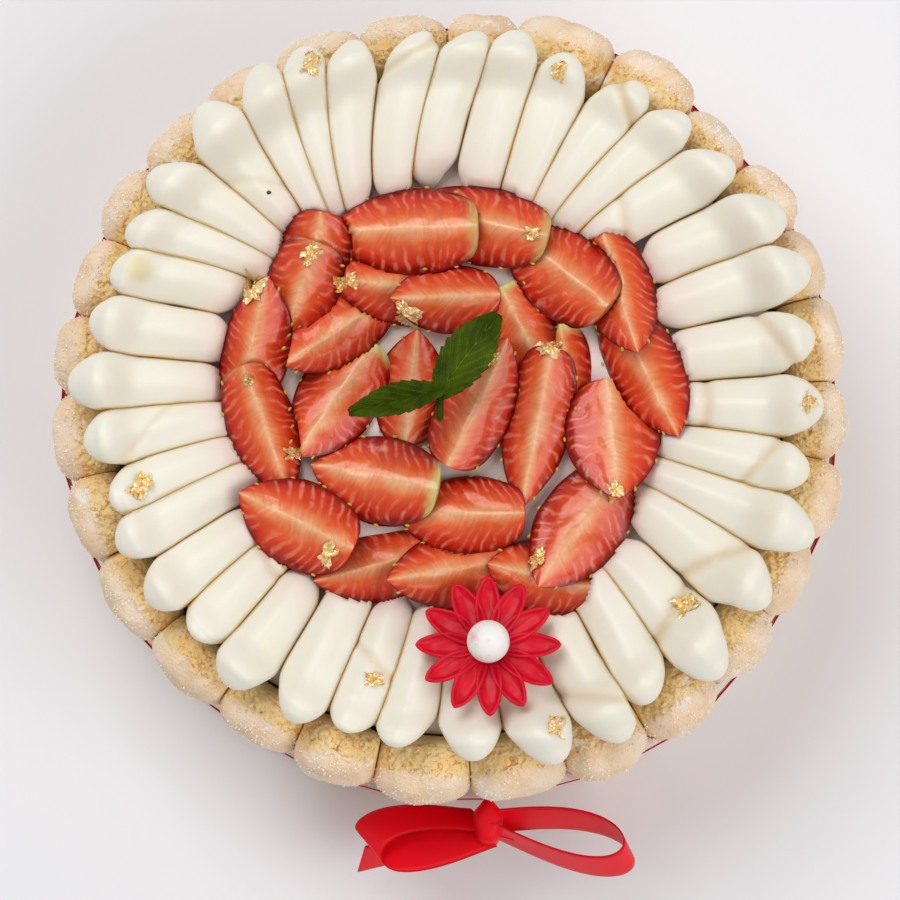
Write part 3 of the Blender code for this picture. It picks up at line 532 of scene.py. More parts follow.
# Dried leaf: dull and nearly black, with a trace of olive.
dried_leaf, _ = finish_of("olive_fleck", {"Base Color": "#3A3A16", "Roughness": 0.6})
bpy.context.view_layer.update()
ring_tree = BVHTree.FromObject(ring, bpy.context.evaluated_depsgraph_get())
landed = ring_tree.ray_cast(Vector((-54.7, 61.5, 200)) * MM, Vector((0, 0, -1)))[0]


def fleck_place(across, along):
    """A small flat drop round the place where the crumb landed."""
    turn, lean = math.tau * across, math.pi * along
    spread = math.sin(lean)
    drop = Vector((spread * math.cos(turn), spread * math.sin(turn), math.cos(lean)))
    return landed + FLECK_HALF_SIZE * drop


fleck = model("olive_fleck", 12, 8, fleck_place, dried_leaf)
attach(fleck, "root")


# The strawberries. Ripe fruit cut lengthways in wedges and laid cut face up in a loose rosette: a pale core,
# orange-red flesh with paler veins, a dark red skin with seeds in its dimples, and a wet glaze over all.
# Each wedge, the uppermost first: number, tip, stalk end and radius in mm, opening and roll in degrees
WEDGES = (
    (5, (-63, -29, 80), (-29, -46, 81), 15.0, 122, 0), (4, (-48, -30, 72), (-62, 9, 80), 12.5, 110, 5),
    (3, (-55, 36, 80), (-64, -3, 73), 13.0, 108, 10), (2, (-50, 19, 72), (-40, 46, 80), 13.5, 115, 0),
    (1, (-43, 30, 72), (-39, 56, 76), 13.0, 112, 0), (15, (-38, 50, 73), (8, 51, 81), 15.0, 120, 0),
    (14, (-15, 59, 72), (29, 48, 80), 14.0, 115, 0), (13, (17, 52, 72), (47, 27, 80), 15.0, 122, 0),
    (12, (56, 13, 79), (46, 50, 73), 13.0, 115, 0), (11, (68, -12, 77), (49, 27, 73), 13.0, 118, -10),
    (10, (50, -31, 81), (47, 6, 73), 14.5, 150, 0), (9, (26, -57, 78), (50, -22, 73), 14.5, 130, 0),
    (8, (11, -50, 77), (42, -57, 71), 13.0, 115, 0), (18, (-18, 29, 82), (15, 31, 76), 12.5, 110, 0),
    (17, (-36, 36, 79), (2, 31, 74), 13.0, 110, 0), (16, (-50, 9, 81), (-19, 30, 75), 13.0, 115, 10),
    (25, (-46, -18, 78), (-23, 17, 73), 14.0, 120, 0), (24, (-42, -20, 73), (-4, -28, 80), 14.5, 130, 0),
    (21, (17, 17, 82), (-1, -21, 78), 13.5, 115, 0), (23, (-17, -35, 73), (22, -35, 78), 13.5, 120, 0),
    (22, (21, -33, 73), (30, 14, 83), 12.5, 115, 0), (7, (-19, -55, 79), (21, -48, 73), 13.5, 112, 0),
    (6, (-41, -55, 73), (-2, -45, 72), 13.0, 110, 0), (19, (28, 8, 71), (15, 33, 77), 13.0, 120, 0),
    (20, (36, -13, 72), (33, 22, 76), 12.5, 100, 4), (26, (-10, 20, 78), (-14, -14, 72), 13.0, 108, 0),
)
# Which wedges keep the pale green shoulder of the fruit, and how much of it
HULLED = {24: 0.9, 25: 1.0, 14: 0.6, 15: 0.55, 19: 1.0, 20: 1.0, 4: 0.2, 2: 0.2, 13: 0.2}
SEED_SPACING = 4.2 * MM
SEED_HALF_SIZE = (0.8 * MM, 0.5 * MM, 0.4 * MM)
VEIN_SPACING = 3.4 * MM
THREAD_SPACING = 1.1 * MM

# Cut strawberry under a clear glaze: wet, so it shines, and juicy, so light goes into it. Its flesh deepens
# from a pale core to a dark red skin.
strawberry, shader = finish_of("glazed_strawberry", {
    "Roughness": 0.2, "Specular IOR Level": 0.3, "Coat Weight": 0.25, "Coat Roughness": 0.06,
    "Subsurface Weight": 0.2, "Subsurface Scale": 2 * MM, "Subsurface Radius": (1.0, 0.25, 0.12)})
place = add(strawberry, "TexCoord", {}).outputs["Object"]
core_way = add(strawberry, "Attribute", {"attribute_name": "from_core"}).outputs["Fac"]
length_way = add(strawberry, "Attribute", {"attribute_name": "from_tip"}).outputs["Fac"]
skin = add(strawberry, "Attribute", {"attribute_name": "skin"}).outputs["Fac"]
hull = add(strawberry, "Attribute", {"attribute_name": "hull"}).outputs["Fac"]
wobble = add(strawberry, "TexNoise", {
    "Vector": place, "Scale": marks_apart(6.667), "Detail": 4.0}).outputs["Fac"]
near = add(strawberry, "Math", {"operation": "MULTIPLY", 0: core_way, 1: 0.82}).outputs[0]
reach = add(strawberry, "Math", {"operation": "MULTIPLY_ADD", 0: wobble, 1: 0.34, 2: near}).outputs[0]
flesh = add(strawberry, "ValToRGB", {"Fac": reach, "stops": [
    (0.16, "#F0B888"), (0.30, "#ED8E5C"), (0.46, "#E65F2E"),
    (0.66, "#DB4320"), (0.84, "#C42812"), (0.93, "#8C0E0C")]})
# Pale fibres run from the core outwards and towards the tip, about one to each seed, three or four mm apart.
slant = add(strawberry, "Math", {
    "operation": "MULTIPLY_ADD", 0: core_way, 1: 6 * MM, 2: length_way}).outputs[0]
drawn = add(strawberry, "TexNoise", {
    "Vector": place, "Scale": marks_apart(14.29), "Detail": 2.0}).outputs["Fac"]
uneven = add(strawberry, "Math", {"operation": "MULTIPLY_ADD", 0: drawn, 1: 12 * MM, 2: slant}).outputs[0]
bent = add(strawberry, "Math", {"operation": "MULTIPLY_ADD", 0: wobble, 1: 2 * MM, 2: uneven}).outputs[0]
spacing = add(strawberry, "Math", {"operation": "MULTIPLY", 0: bent, 1: math.tau / VEIN_SPACING}).outputs[0]
wave = add(strawberry, "Math", {"operation": "SINE", 0: spacing}).outputs[0]
veins = add(strawberry, "ValToRGB", {"Fac": wave, "stops": [(0.2, 0.0), (0.98, 0.5)]}).outputs[0]
fade = add(strawberry, "ValToRGB", {"Fac": core_way, "stops": [
    (0.3, 0.0), (0.55, 0.8), (0.86, 1.0), (0.96, 0.0)]}).outputs[0]
broken = add(strawberry, "TexNoise", {
    "Vector": place, "Scale": marks_apart(3.03), "Detail": 2.0}).outputs["Fac"]
patches = add(strawberry, "ValToRGB", {"Fac": broken, "stops": [(0.36, 0.1), (0.58, 1.0)]}).outputs[0]
streak = add(strawberry, "Math", {"operation": "MULTIPLY", 0: veins, 1: fade}).outputs[0]
torn = add(strawberry, "Math", {"operation": "MULTIPLY", 0: streak, 1: patches}).outputs[0]
veined = add(strawberry, "Mix", {"data_type": "RGBA", 0: torn, 6: flesh.outputs[0], 7: linear("#F1A985")})
# Finer threads between them, drawn across the cut by stretching a noise along it.
rows = add(strawberry, "Math", {"operation": "MULTIPLY", 0: bent, 1: 1 / THREAD_SPACING}).outputs[0]
fibres = add(strawberry, "CombineXYZ", {"X": core_way, "Y": rows}).outputs[0]
fine = add(strawberry, "TexNoise", {"Vector": fibres, "Scale": 1.0, "Detail": 3.0}).outputs["Fac"]
threaded = add(strawberry, "ValToRGB", {"Fac": fine, "stops": [(0.35, "#DADADA"), (0.65, "#FFFFFF")]})
flecked = add(strawberry, "Mix", {
    "data_type": "RGBA", "blend_type": "MULTIPLY", 0: 0.55, 6: veined.outputs[2], 7: threaded.outputs[0]})
rind = add(strawberry, "ValToRGB", {"Fac": wobble, "stops": [(0.3, "#8E0C0C"), (0.7, "#C01C12")]})
skinned = add(strawberry, "Mix", {"data_type": "RGBA", 0: skin, 6: flecked.outputs[2], 7: rind.outputs[0]})
crowned = add(strawberry, "Mix", {"data_type": "RGBA", 0: hull, 6: skinned.outputs[2], 7: linear("#CDC67C")})
strawberry.node_tree.links.new(crowned.outputs[2], shader.inputs["Base Color"])
juice = add(strawberry, "TexNoise", {
    "Vector": place, "Scale": marks_apart(4.167), "Detail": 3.0}).outputs["Fac"]
cells = add(strawberry, "Math", {"operation": "MULTIPLY_ADD", 0: torn, 1: 0.4, 2: juice}).outputs[0]
wet = add(strawberry, "Bump", {"Height": cells, "Strength": 0.4, "Distance": 0.9 * MM})
strawberry.node_tree.links.new(wet.outputs["Normal"], shader.inputs["Normal"])

# The seeds: small hard grains, straw yellow and a little shiny.
pips, _ = finish_of("strawberry_pips", {"Base Color": "#C2A83A", "Roughness": 0.35})


def cut_wedge(row, material):
    """One wedge as a wrapped grid: two cut faces that meet on the core, and the skin under them."""
    number, tip, stalk, radius, opening, roll = row
    tip, stalk = Vector(tip) * MM, Vector(stalk) * MM
    length = (stalk - tip).length
    half = math.radians(opening) / 2
    along_way = (stalk - tip).normalized()
    across_way = Vector((0, 0, 1)).cross(along_way).normalized()
    turned = Matrix((along_way, across_way, along_way.cross(across_way))).transposed().to_4x4()
    lay = Matrix.Translation(tip) @ turned @ Matrix.Rotation(math.radians(roll), 4, "X")
    columns, rows = 56, 44
    marks = []

    def girth(share):
        """The radius along the wedge: its power falls from tip to stalk, so one end is pointed, one blunt."""
        fullness = math.sqrt(max(1.0 - (2 * share - 1) ** 2, 0.0))
        return radius * MM * (0.88 + 0.26 * share) * max(fullness, 1e-6) ** (1.6 - 0.95 * share)

    def wedge_place(across, along):
        share = (1.0 - math.cos(math.pi * along)) / 2.0
        lump = 1 + 0.05 * noise.noise(Vector((number * 5.1, share * 5, across * 3)))
        full = girth(share) * lump
        if across < 0.5:
            side = -1 if across < 0.25 else 1
            out = abs(across - 0.25) / 0.25
            angle = side * half
            y, z = full * out * math.sin(angle), -full * out * math.cos(angle)
            z += full * 0.05 * math.sin(math.pi * out)
            z += full * 0.06 * noise.noise(Vector((number * 2.7, share * 6, out * 3 * side)))
            marks.append((out, share * length, 0.0))
        else:
            swing = (across - 0.5) / 0.5
            angle = half - swing * 2 * half
            y, z = full * math.sin(angle), -full * math.cos(angle)
            rim = min(swing, 1 - swing)
            marks.append((1.0, share * length, smooth_step(rim, 0.0, 0.03)))
        return lay @ Vector((share * length, y, z))

    berry = model(f"strawberry_wedge_{number:02d}", columns, rows, wedge_place, material, weld=False)
    for name, values in zip(("from_core", "from_tip", "skin"), zip(*marks)):
        berry.data.attributes.new(name, "FLOAT", "POINT").data.foreach_set("value", values)
    green = HULLED.get(number, 0.0)
    pale = [green * smooth_step(m[1] / length + 0.03 * noise.noise(Vector((number, i * 0.3, 0))), 0.89, 0.99)
            for i, m in enumerate(marks)]
    berry.data.attributes.new("hull", "FLOAT", "POINT").data.foreach_set("value", pale)
    return berry, lay, girth, length, half


def press_under(piece, trees):
    """What lies under a higher wedge gives way to it, and nothing sinks into the mousse."""
    for vertex in piece.data.vertices:
        for tree in trees:
            low, _, _, _ = tree.ray_cast(Vector((vertex.co.x, vertex.co.y, -1)), Vector((0, 0, 1)))
            if low and vertex.co.z > low.z - 0.4 * MM:
                vertex.co.z = max(low.z - 0.4 * MM, MOUSSE_TOP)


def set_pips(lay, girth, length, half, chance):
    """The seeds of one wedge: small drops set in staggered rows over its skin."""
    seeds = []
    rows = max(int(length * 0.9 / SEED_SPACING), 4)
    for i in range(rows):
        share = (i + 0.7) / (rows + 0.4)
        full = girth(share)
        count = max(int(full * 2 * half / SEED_SPACING), 1)
        for j in range(count + 1):
            angle = half * (2 * (j + 0.5 * (i % 2)) / count - 1)
            if abs(angle) > half * 1.02:
                continue
            angle += chance.uniform(-0.05, 0.05)
            place = share * length + chance.uniform(-0.4, 0.4) * MM
            seeds.append((Vector((place, full * math.sin(angle), -full * math.cos(angle))), angle))
    pieces = []
    for spot, angle in seeds:
        size = Matrix.Diagonal((*SEED_HALF_SIZE, 1.0))
        turn = Matrix.Rotation(angle + math.pi, 4, "X")
        mesh = round_pip.data.copy()
        mesh.transform(lay @ Matrix.Translation(spot) @ turn @ size)
        seed = bpy.data.objects.new("pip", mesh)
        bpy.context.scene.collection.objects.link(seed)
        pieces.append(seed)
    return pieces


bpy.ops.object.select_all(action="DESELECT")
bpy.ops.mesh.primitive_uv_sphere_add(segments=8, ring_count=6, radius=1.0)
round_pip = bpy.context.object
round_pip.data.materials.append(pips)
bpy.ops.object.shade_smooth()
above, seeds = [], []
for row in WEDGES:
    wedge, lay, girth, length, half = cut_wedge(row, strawberry)
    press_under(wedge, above)
    bpy.context.view_layer.update()
    above.append(BVHTree.FromObject(wedge, bpy.context.evaluated_depsgraph_get()))
    weld_all([wedge], wedge.name)
    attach(wedge, "root")
    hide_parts(f"strawberry_{row[0]:02d}")
    seeds += set_pips(lay, girth, length, half, luck)
press_under(ring, above)
bpy.data.objects.remove(round_pip)
seeds = weld_all(seeds, "strawberry_pips")
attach(seeds, "root")


# The gold. Nineteen torn scraps of edible gold leaf, beaten thin as a breath and dropped crumpled from
# tweezers on the cream and the fruit, where the damp holds them.
FOIL_THICKNESS = 0.1 * MM
# Each scrap's place and length in millimetres, and its heading in degrees
GOLD_FLAKES = (
    (-41.7, 98.5, 8, 70), (32.3, 96.4, 6, 80), (105.9, -3.0, 6, 60), (-92.0, -27.0, 8, 60),
    (-22.9, -84.5, 6, 0), (69.8, -62.1, 8, 30), (30.8, -98.5, 7, 90), (-58.9, 33.0, 9, 80),
    (-41.7, 42.7, 7, 45), (-31.7, 34.8, 7, 0), (-13.0, 24.5, 8, -35), (29.5, 14.5, 9, 10),
    (12.6, 10.9, 5, 60), (24.1, 48.9, 5, -10), (-60.5, 4.5, 4, 60), (-47.0, -16.5, 5, 0),
    (-36.5, -47.5, 7, 60), (48.9, -28.5, 6, -70), (25.5, -48.5, 6, 50),
)
# Gold leaf: bright metal whose crumples catch the light in small folds. It isn't fully metallic, so that a
# fold turned from the lamps doesn't go black.
gold, shader = finish_of("gold_leaf", {"Metallic": 0.7, "Roughness": 0.3})
place = add(gold, "TexCoord", {}).outputs["Object"]
worn = add(gold, "TexNoise", {"Vector": place, "Scale": marks_apart(1.111), "Detail": 3.0}).outputs["Fac"]
leaf_tone = add(gold, "ValToRGB", {"Fac": worn, "stops": [
    (0.3, "#EBB765"), (0.5, "#FFE7AE"), (0.7, "#FFF8E0")]})
gold.node_tree.links.new(leaf_tone.outputs[0], shader.inputs["Base Color"])
creases = add(gold, "Bump", {"Height": worn, "Strength": 0.5, "Distance": 0.4 * MM})
gold.node_tree.links.new(creases.outputs["Normal"], shader.inputs["Normal"])


def lay_flake(number, row, trees, material):
    """One torn scrap that follows what it lies on, crumpled up in sharp folds."""
    x, y, length, heading = row
    turn = math.radians(heading)
    seed = number * 11.7

    def flake_place(across, along):
        a, b = 2 * across - 1, 2 * along - 1
        torn = 0.72 + 0.5 * noise.noise(Vector((a * 1.3 + seed, b * 1.3, 0)))
        torn += 0.3 * noise.noise(Vector((a * 4 + seed, b * 4, 2)))
        out, side = a * length * 0.6 * torn * MM, b * length * 0.42 * torn * MM
        px = x * MM + out * math.cos(turn) - side * math.sin(turn)
        py = y * MM + out * math.sin(turn) + side * math.cos(turn)
        hits = [tree.ray_cast(Vector((px, py, 1)), Vector((0, 0, -1)))[0] for tree in trees]
        high = max((hit.z for hit in hits if hit), default=MOUSSE_TOP)
        fold = abs(noise.noise(Vector((a * 1.8 + seed, b * 1.8, 5))))
        fold += 0.6 * abs(noise.noise(Vector((a * 5 + seed, b * 5, 7))))
        return Vector((px, py, high + 0.2 * MM + 2.2 * MM * fold))

    flake = model(f"gold_flake_{number:02d}", 14, 12, flake_place, material, weld=False)
    foil = flake.modifiers.new("foil", "SOLIDIFY")
    foil.thickness = FOIL_THICKNESS
    bpy.ops.object.modifier_apply(modifier="foil")
    bpy.ops.object.shade_flat()
    return flake


bpy.context.view_layer.update()
under_gold = above + [BVHTree.FromObject(ring, bpy.context.evaluated_depsgraph_get())]
for number, row in enumerate(GOLD_FLAKES, 1):
    lay_flake(number, row, under_gold, gold)


# The sugar daisy. Twelve cupped petals of red sugar paste, rolled out, pressed to shape and dried, set round
# a disc, with a ball of white paste stuck in the middle. Its front edge is propped up on the cream.
DAISY_PETALS = 12
DAISY_RADIUS = 22.5 * MM
DAISY_EYE = 5.0 * MM
DISC_RADIUS = 7.0 * MM
PASTE_THICKNESS = 1.1 * MM
DAISY = Matrix.Translation(Vector((11.0, -75.5, 80.0)) * MM) @ Matrix.Rotation(math.radians(-12), 4, "X")
BALL_RADIUS = 6.3 * MM

# Sugar paste with red dye kneaded in: one strong red, softly glossy, a little uneven where it was pressed.
red_paste, shader = finish_of("red_sugar_paste", {"Roughness": 0.38, "Specular IOR Level": 0.22})
place = add(red_paste, "TexCoord", {}).outputs["Object"]
mottle = add(red_paste, "TexNoise", {
    "Vector": place, "Scale": marks_apart(3.333), "Detail": 3.0}).outputs["Fac"]
deep = add(red_paste, "ValToRGB", {"Fac": mottle, "stops": [(0.3, "#C40A24"), (0.7, "#E00C2C")]})
red_paste.node_tree.links.new(deep.outputs[0], shader.inputs["Base Color"])
ripple = add(red_paste, "Bump", {"Height": mottle, "Strength": 0.3, "Distance": 0.5 * MM})
red_paste.node_tree.links.new(ripple.outputs["Normal"], shader.inputs["Normal"])

# Plain sugar paste, rolled between the palms: chalky white, matt, with faint pink smudges from the petals.
white_paste, shader = finish_of("white_sugar_paste", {
    "Roughness": 0.5, "Subsurface Weight": 0.2, "Subsurface Scale": 2 * MM})
place = add(white_paste, "TexCoord", {}).outputs["Object"]
smudge = add(white_paste, "TexNoise", {
    "Vector": place, "Scale": marks_apart(5.0), "Detail": 4.0}).outputs["Fac"]
smudged = add(white_paste, "ValToRGB", {"Fac": smudge, "stops": [(0.55, "#F4F1ED"), (0.72, "#E9C4C2")]})
white_paste.node_tree.links.new(smudged.outputs[0], shader.inputs["Base Color"])
dents = add(white_paste, "Bump", {"Height": smudge, "Strength": 0.2, "Distance": 0.5 * MM})
white_paste.node_tree.links.new(dents.outputs["Normal"], shader.inputs["Normal"])


def press_petal(index, material, chance):
    """One cupped petal: a pointed sheet of paste with raised edges, thickened and softened."""
    length = DAISY_RADIUS - DAISY_EYE - chance.uniform(0.0, 1.2) * MM
    half_width = chance.uniform(4.1, 4.5) * MM
    rise = chance.uniform(-0.02, 0.05)
    turn = Matrix.Rotation(math.tau * index / DAISY_PETALS + chance.uniform(-0.04, 0.04), 4, "Z")

    def petal_place(across, along):
        side = 2 * across - 1
        width = half_width * math.sin(math.pi * (0.16 + 0.838 * along)) ** 0.55
        edge = abs(side) ** 3.2
        cup = 2.5 * MM * edge * (0.35 + 0.65 * math.sin(math.pi * min(along * 0.9 + 0.1, 1.0)))
        cup += 1.4 * MM * smooth_step(along, 0.7, 1.0)
        cup += 0.25 * MM * noise.noise(Vector((index * 3.3, along * 4, side * 2)))
        spot = Vector((DAISY_EYE + along * length, side * width, 1.2 * MM + cup + along * length * rise))
        return DAISY @ turn @ spot

    petal = model(f"sugar_petal_{index + 1:02d}", 14, 20, petal_place, material, weld=False)
    paste = petal.modifiers.new("paste", "SOLIDIFY")
    paste.thickness = PASTE_THICKNESS
    paste.offset = -1.0
    soften = petal.modifiers.new("soften", "SUBSURF")
    soften.levels = soften.render_levels = 1
    for step in ("paste", "soften"):
        bpy.ops.object.modifier_apply(modifier=step)
    return petal


def dome_place(radius, low, high, frame_of):
    """A closed drop between two heights, for the disc and the ball."""
    def drop_place(across, along):
        turn, lean = math.tau * across, math.pi * along
        spread = radius * math.sin(lean)
        height = (low + high) / 2 + (high - low) / 2 * math.cos(lean)
        return frame_of @ Vector((spread * math.cos(turn), spread * math.sin(turn), height))
    return drop_place


petals = [press_petal(i, red_paste, luck) for i in range(DAISY_PETALS)]
petals.append(model("sugar_disc", 36, 12, dome_place(DISC_RADIUS, -0.4 * MM, 2.6 * MM, DAISY), red_paste))
daisy = weld_all(petals, "sugar_daisy")
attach(daisy, "root")
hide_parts("daisy_petals")
ball = model("sugar_ball", 56, 40, dome_place(BALL_RADIUS, 2.6 * MM, 14.6 * MM, DAISY), white_paste)
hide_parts("daisy_ball")


# The mint. A fresh sprig: one broad toothed leaf, quilted between its veins, and one folded over sideways,
# both on a short stalk, pushed between the strawberries.
LEAF_TEETH = 9
LEAF_VEINS = 6.5

# Fresh mint: dark green with paler ribs, quilted between them, and dull, because fine hairs break the gloss.
mint_leaf, shader = finish_of("mint_leaf", {"Roughness": 0.55, "Specular IOR Level": 0.08})
place = add(mint_leaf, "TexCoord", {}).outputs["Object"]
rib = add(mint_leaf, "Attribute", {"attribute_name": "rib"}).outputs["Fac"]
shade_of_leaf = add(mint_leaf, "TexNoise", {
    "Vector": place, "Scale": marks_apart(6.667), "Detail": 3.0}).outputs["Fac"]
green = add(mint_leaf, "ValToRGB", {"Fac": shade_of_leaf, "stops": [(0.3, "#2A3A02"), (0.7, "#485A06")]})
ribbed = add(mint_leaf, "Mix", {"data_type": "RGBA", 0: rib, 6: green.outputs[0], 7: linear("#7C9222")})
mint_leaf.node_tree.links.new(ribbed.outputs[2], shader.inputs["Base Color"])
quilt = add(mint_leaf, "Bump", {"Height": rib, "Strength": 0.5, "Distance": 0.6 * MM})
mint_leaf.node_tree.links.new(quilt.outputs["Normal"], shader.inputs["Normal"])


def grow_leaf(name, base, tip, half_width, fold, material):
    """One toothed leaf, folded along its middle rib, with its veins marked."""
    base, tip = Vector(base) * MM, Vector(tip) * MM
    along_way = tip - base
    across_way = Vector((0, 0, 1)).cross(along_way).normalized()
    upward = along_way.cross(across_way).normalized()
    marks = []

    def leaf_place(across, along):
        side = 2 * across - 1
        tooth = 1.0 + 0.07 * (2 * abs((along * LEAF_TEETH + 0.2) % 1.0) - 1)
        width = half_width * MM * (math.sin(math.pi * min(along * 0.93 + 0.05, 1.0)) ** 0.8 * tooth + 0.05)
        arch = 3.0 * MM * math.sin(math.pi * along)
        vein = abs(((along - 0.42 * abs(side)) * LEAF_VEINS) % 1.0 - 0.5) * 2
        mark = max(1 - abs(side) / 0.05, 0.0) + 0.8 * max(1 - (1 - vein) / 0.16, 0.0) * (abs(side) < 0.93)
        marks.append(min(mark, 1.0))
        quilted = 0.5 * MM * math.sin(math.pi * (1 - vein)) * math.sin(math.pi * abs(side))
        wave = 0.6 * MM * math.sin(along * 9 + side * 2)
        spot = base + along_way * along + across_way * side * width * math.cos(fold)
        return spot + upward * (arch + abs(side) * width * math.sin(fold) + wave + quilted)

    leaf = model(name, 40, 72, leaf_place, material, weld=False)
    leaf.data.attributes.new("rib", "FLOAT", "POINT").data.foreach_set("value", marks)
    blade = leaf.modifiers.new("blade", "SOLIDIFY")
    blade.thickness = 0.5 * MM
    bpy.ops.object.modifier_apply(modifier="blade")
    return leaf


def stalk_place(across, along):
    """The stalk, a thin rod that dips towards the front, closed at both ends."""
    turn = math.tau * across
    thick = 1.1 * MM * min(1.0, 12 * along, 12 * (1 - along))
    middle = Vector((-3.2, 1.5 - 10 * along, 87.3 - 1.4 * along)) * MM
    return middle + Vector((thick * math.cos(turn), 0, thick * math.sin(turn)))


sprig = weld_all([
    grow_leaf("mint_sprig_leaves", (-4, -1, 87), (14.0, 23.0, 90), 7.5, math.radians(22), mint_leaf),
    grow_leaf("side_leaf", (-2, 1, 87), (-30, -6, 87), 6.0, math.radians(40), mint_leaf),
    model("mint_stalk", 12, 20, stalk_place, mint_leaf)], "mint_sprig_leaves")
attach(sprig, "root")
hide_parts("mint_sprig")


# The ribbon. Red double-faced satin, fifteen millimetres wide, drawn tight round the fingers and tied at the
# front in a bow whose loops fall forward; woven edges run along both sides.
RIBBON_WIDTH = 15.0 * MM
KNOT_CENTRE = Vector((11.5, -127.0, 38.0)) * MM
LOOP_MOUTH = 1.3 * MM
LOOP_STEPS = 90
SATIN_THICKNESS = 0.4 * MM
# Points that the tails run through, from the knot in millimetres
LEFT_TAIL = ((-1, -2, -3), (-14, -5, -12), (-39, -11, -15))
RIGHT_TAIL = ((1, -3, -3), (5, -5, -11), (8, -6, -22))
# How the width of each loop and tail leans, from its lower edge to its upper one
LEFT_LEAN = (Vector((8.5, -7.5, 10.0)), Vector((7.5, -10.5, 7.6)))
RIGHT_LEAN = (Vector((-3.8, 6.6, 13.0)), Vector((-3.8, 6.1, 13.2)))
LEFT_TAIL_LEAN = (Vector((2.5, 7.9, 12.5)),)
RIGHT_TAIL_LEAN = (Vector((13.5, -4.0, 5.0)),)

# Satin: long floating threads lie side by side, so it is smooth with a soft sheen that follows them, and its
# woven edges are darker. Real threads are a tenth of a millimetre apart. They are drawn five times as coarse,
# so that they show.
DRAWN_THREAD = 0.5 * MM
satin, shader = finish_of("red_satin", {"Roughness": 0.42, "Specular IOR Level": 0.12, "Anisotropic": 0.6})
weave = add(satin, "UVMap", {"uv_map": "UVMap"}).outputs["UV"]
apart = add(satin, "SeparateXYZ", {"Vector": weave})
selvedge = add(satin, "ValToRGB", {"Fac": apart.outputs["X"], "stops": [
    (0.0, "#C00818"), (0.04, "#EE1224"), (0.96, "#EE1224"), (1.0, "#C00818")]})
satin.node_tree.links.new(selvedge.outputs[0], shader.inputs["Base Color"])
threads = add(satin, "Math", {
    "operation": "MULTIPLY", 0: apart.outputs["X"], 1: math.tau * RIBBON_WIDTH / DRAWN_THREAD}).outputs[0]
ridges = add(satin, "Math", {"operation": "SINE", 0: threads}).outputs[0]
woven = add(satin, "Bump", {"Height": ridges, "Strength": 0.1, "Distance": 0.1 * MM})
satin.node_tree.links.new(woven.outputs["Normal"], shader.inputs["Normal"])


def along_line(places, share, closed=False):
    """The point at a share of the way along a line of points."""
    count = len(places) if closed else len(places) - 1
    step = min(int(share * count), count - 1)
    here, there = places[step], places[(step + 1) % len(places)]
    return here.lerp(there, share * count - step)


def lay_strip(name, places, lean, material, count, closed=False):
    """A satin strip along a smooth line of points, whose lean may change on its way."""

    def strip_place(across, along):
        upright = lean[0].lerp(lean[-1], smooth_step(along, 0.4, 0.65)).normalized() * RIBBON_WIDTH
        return along_line(places, along, closed) + upright * (across - 0.5)

    strip = model(name, 8, count, strip_place, material, weld=False)
    cloth = strip.modifiers.new("cloth", "SOLIDIFY")
    cloth.thickness = SATIN_THICKNESS
    cloth.offset = 0.0
    bpy.ops.object.modifier_apply(modifier="cloth")
    return strip


def curve_through(points, count):
    """A smooth line of points through a few given ones."""
    line = []
    for number in range(count + 1):
        share = number / count * (len(points) - 1)
        step = min(int(share), len(points) - 2)
        t = share - step
        a, b, c, d = (points[min(max(step + k, 0), len(points) - 1)] for k in (-1, 0, 1, 2))
        bend = (2 * a - 5 * b + 4 * c - d) * t * t + (3 * b - a - 3 * c + d) * t ** 3
        line.append(0.5 * (2 * b + (c - a) * t + bend))
    return line


def even_line(points, count):
    """A closed line of points cut again in equal steps."""
    ends = [0.0]
    for number in range(len(points)):
        ends.append(ends[-1] + (points[(number + 1) % len(points)] - points[number]).length)
    line, step = [], 0
    for number in range(count):
        goal = ends[-1] * number / count
        while ends[step + 1] < goal:
            step += 1
        share = (goal - ends[step]) / (ends[step + 1] - ends[step])
        line.append(points[step].lerp(points[(step + 1) % len(points)], share))
    return line


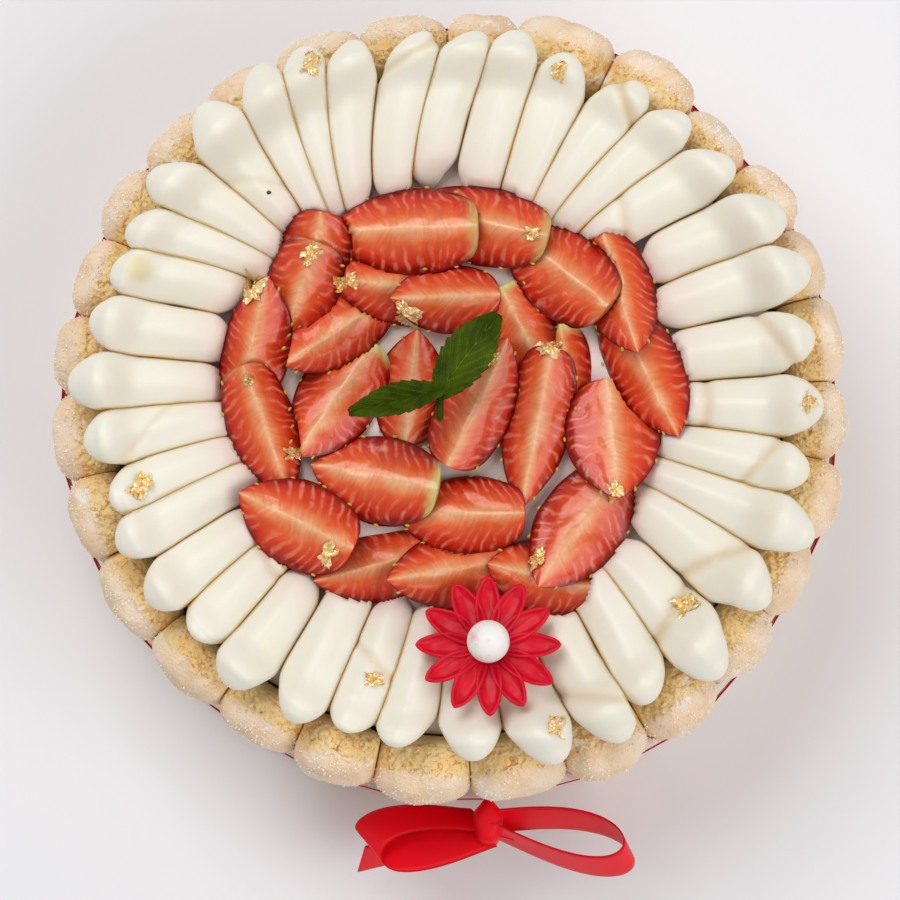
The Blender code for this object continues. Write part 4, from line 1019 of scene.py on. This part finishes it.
def loop_places(start, reach, depth, drop, sag):
    """A teardrop loop of the bow, out along one side and back along the other."""
    places = []
    for i in range(LOOP_STEPS + 1):
        turn = math.tau * i / LOOP_STEPS
        out = (1 - math.cos(turn)) / 2
        side = math.sin(turn) * out ** 0.6
        apart = LOOP_MOUTH * (1 - out) * (1 - 2 * i / LOOP_STEPS)
        places.append(start + Vector((reach * out, apart + depth * side - drop * out, -sag * out)))
    return places


waist = [v.co.xy for finger in fingers for v in finger.data.vertices if abs(v.co.z - RIBBON_HEIGHT) < 4 * MM]
hull = [waist[i] for i in convex_hull_2d(waist)]
band = [Vector((p.x, p.y, 0)) * (1 + 0.7 * MM / p.length) + Vector((0, 0, RIBBON_HEIGHT)) for p in hull]
left = loop_places(KNOT_CENTRE + Vector((-1, -0.5, 0)) * MM, -35.5 * MM, 7.0 * MM, 5.0 * MM, 2 * MM)
right = loop_places(KNOT_CENTRE + Vector((1, -0.5, 0)) * MM, 42.3 * MM, 8.8 * MM, 8.0 * MM, 3 * MM)
left_tail = curve_through([KNOT_CENTRE + Vector(p) * MM for p in LEFT_TAIL], 30)
right_tail = curve_through([KNOT_CENTRE + Vector(p) * MM for p in RIGHT_TAIL], 20)


def knot_place(across, along):
    """The knot, an upright pillow of gathered satin."""
    turn, lean = math.tau * across, math.pi * along
    spread = math.sin(lean) ** 0.5
    fold = 1 + 0.06 * math.sin(turn * 5) * math.sin(lean)
    return KNOT_CENTRE + Vector((4.6 * spread * fold * math.cos(turn), 7.4 * spread * fold * math.sin(turn),
                                 8.0 * math.cos(lean))) * MM


ribbon = weld_all([
    lay_strip("satin_ribbon", even_line(band, 360), (Vector((0, 0, 1)),), satin, 720, closed=True),
    lay_strip("left_loop", left, LEFT_LEAN, satin, 120),
    lay_strip("right_loop", right, RIGHT_LEAN, satin, 120),
    lay_strip("left_tail", left_tail, LEFT_TAIL_LEAN, satin, 40),
    lay_strip("right_tail", right_tail, RIGHT_TAIL_LEAN, satin, 24),
    model("knot", 40, 30, knot_place, satin)], "satin_ribbon")
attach(ribbon, "root")
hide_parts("ribbon")
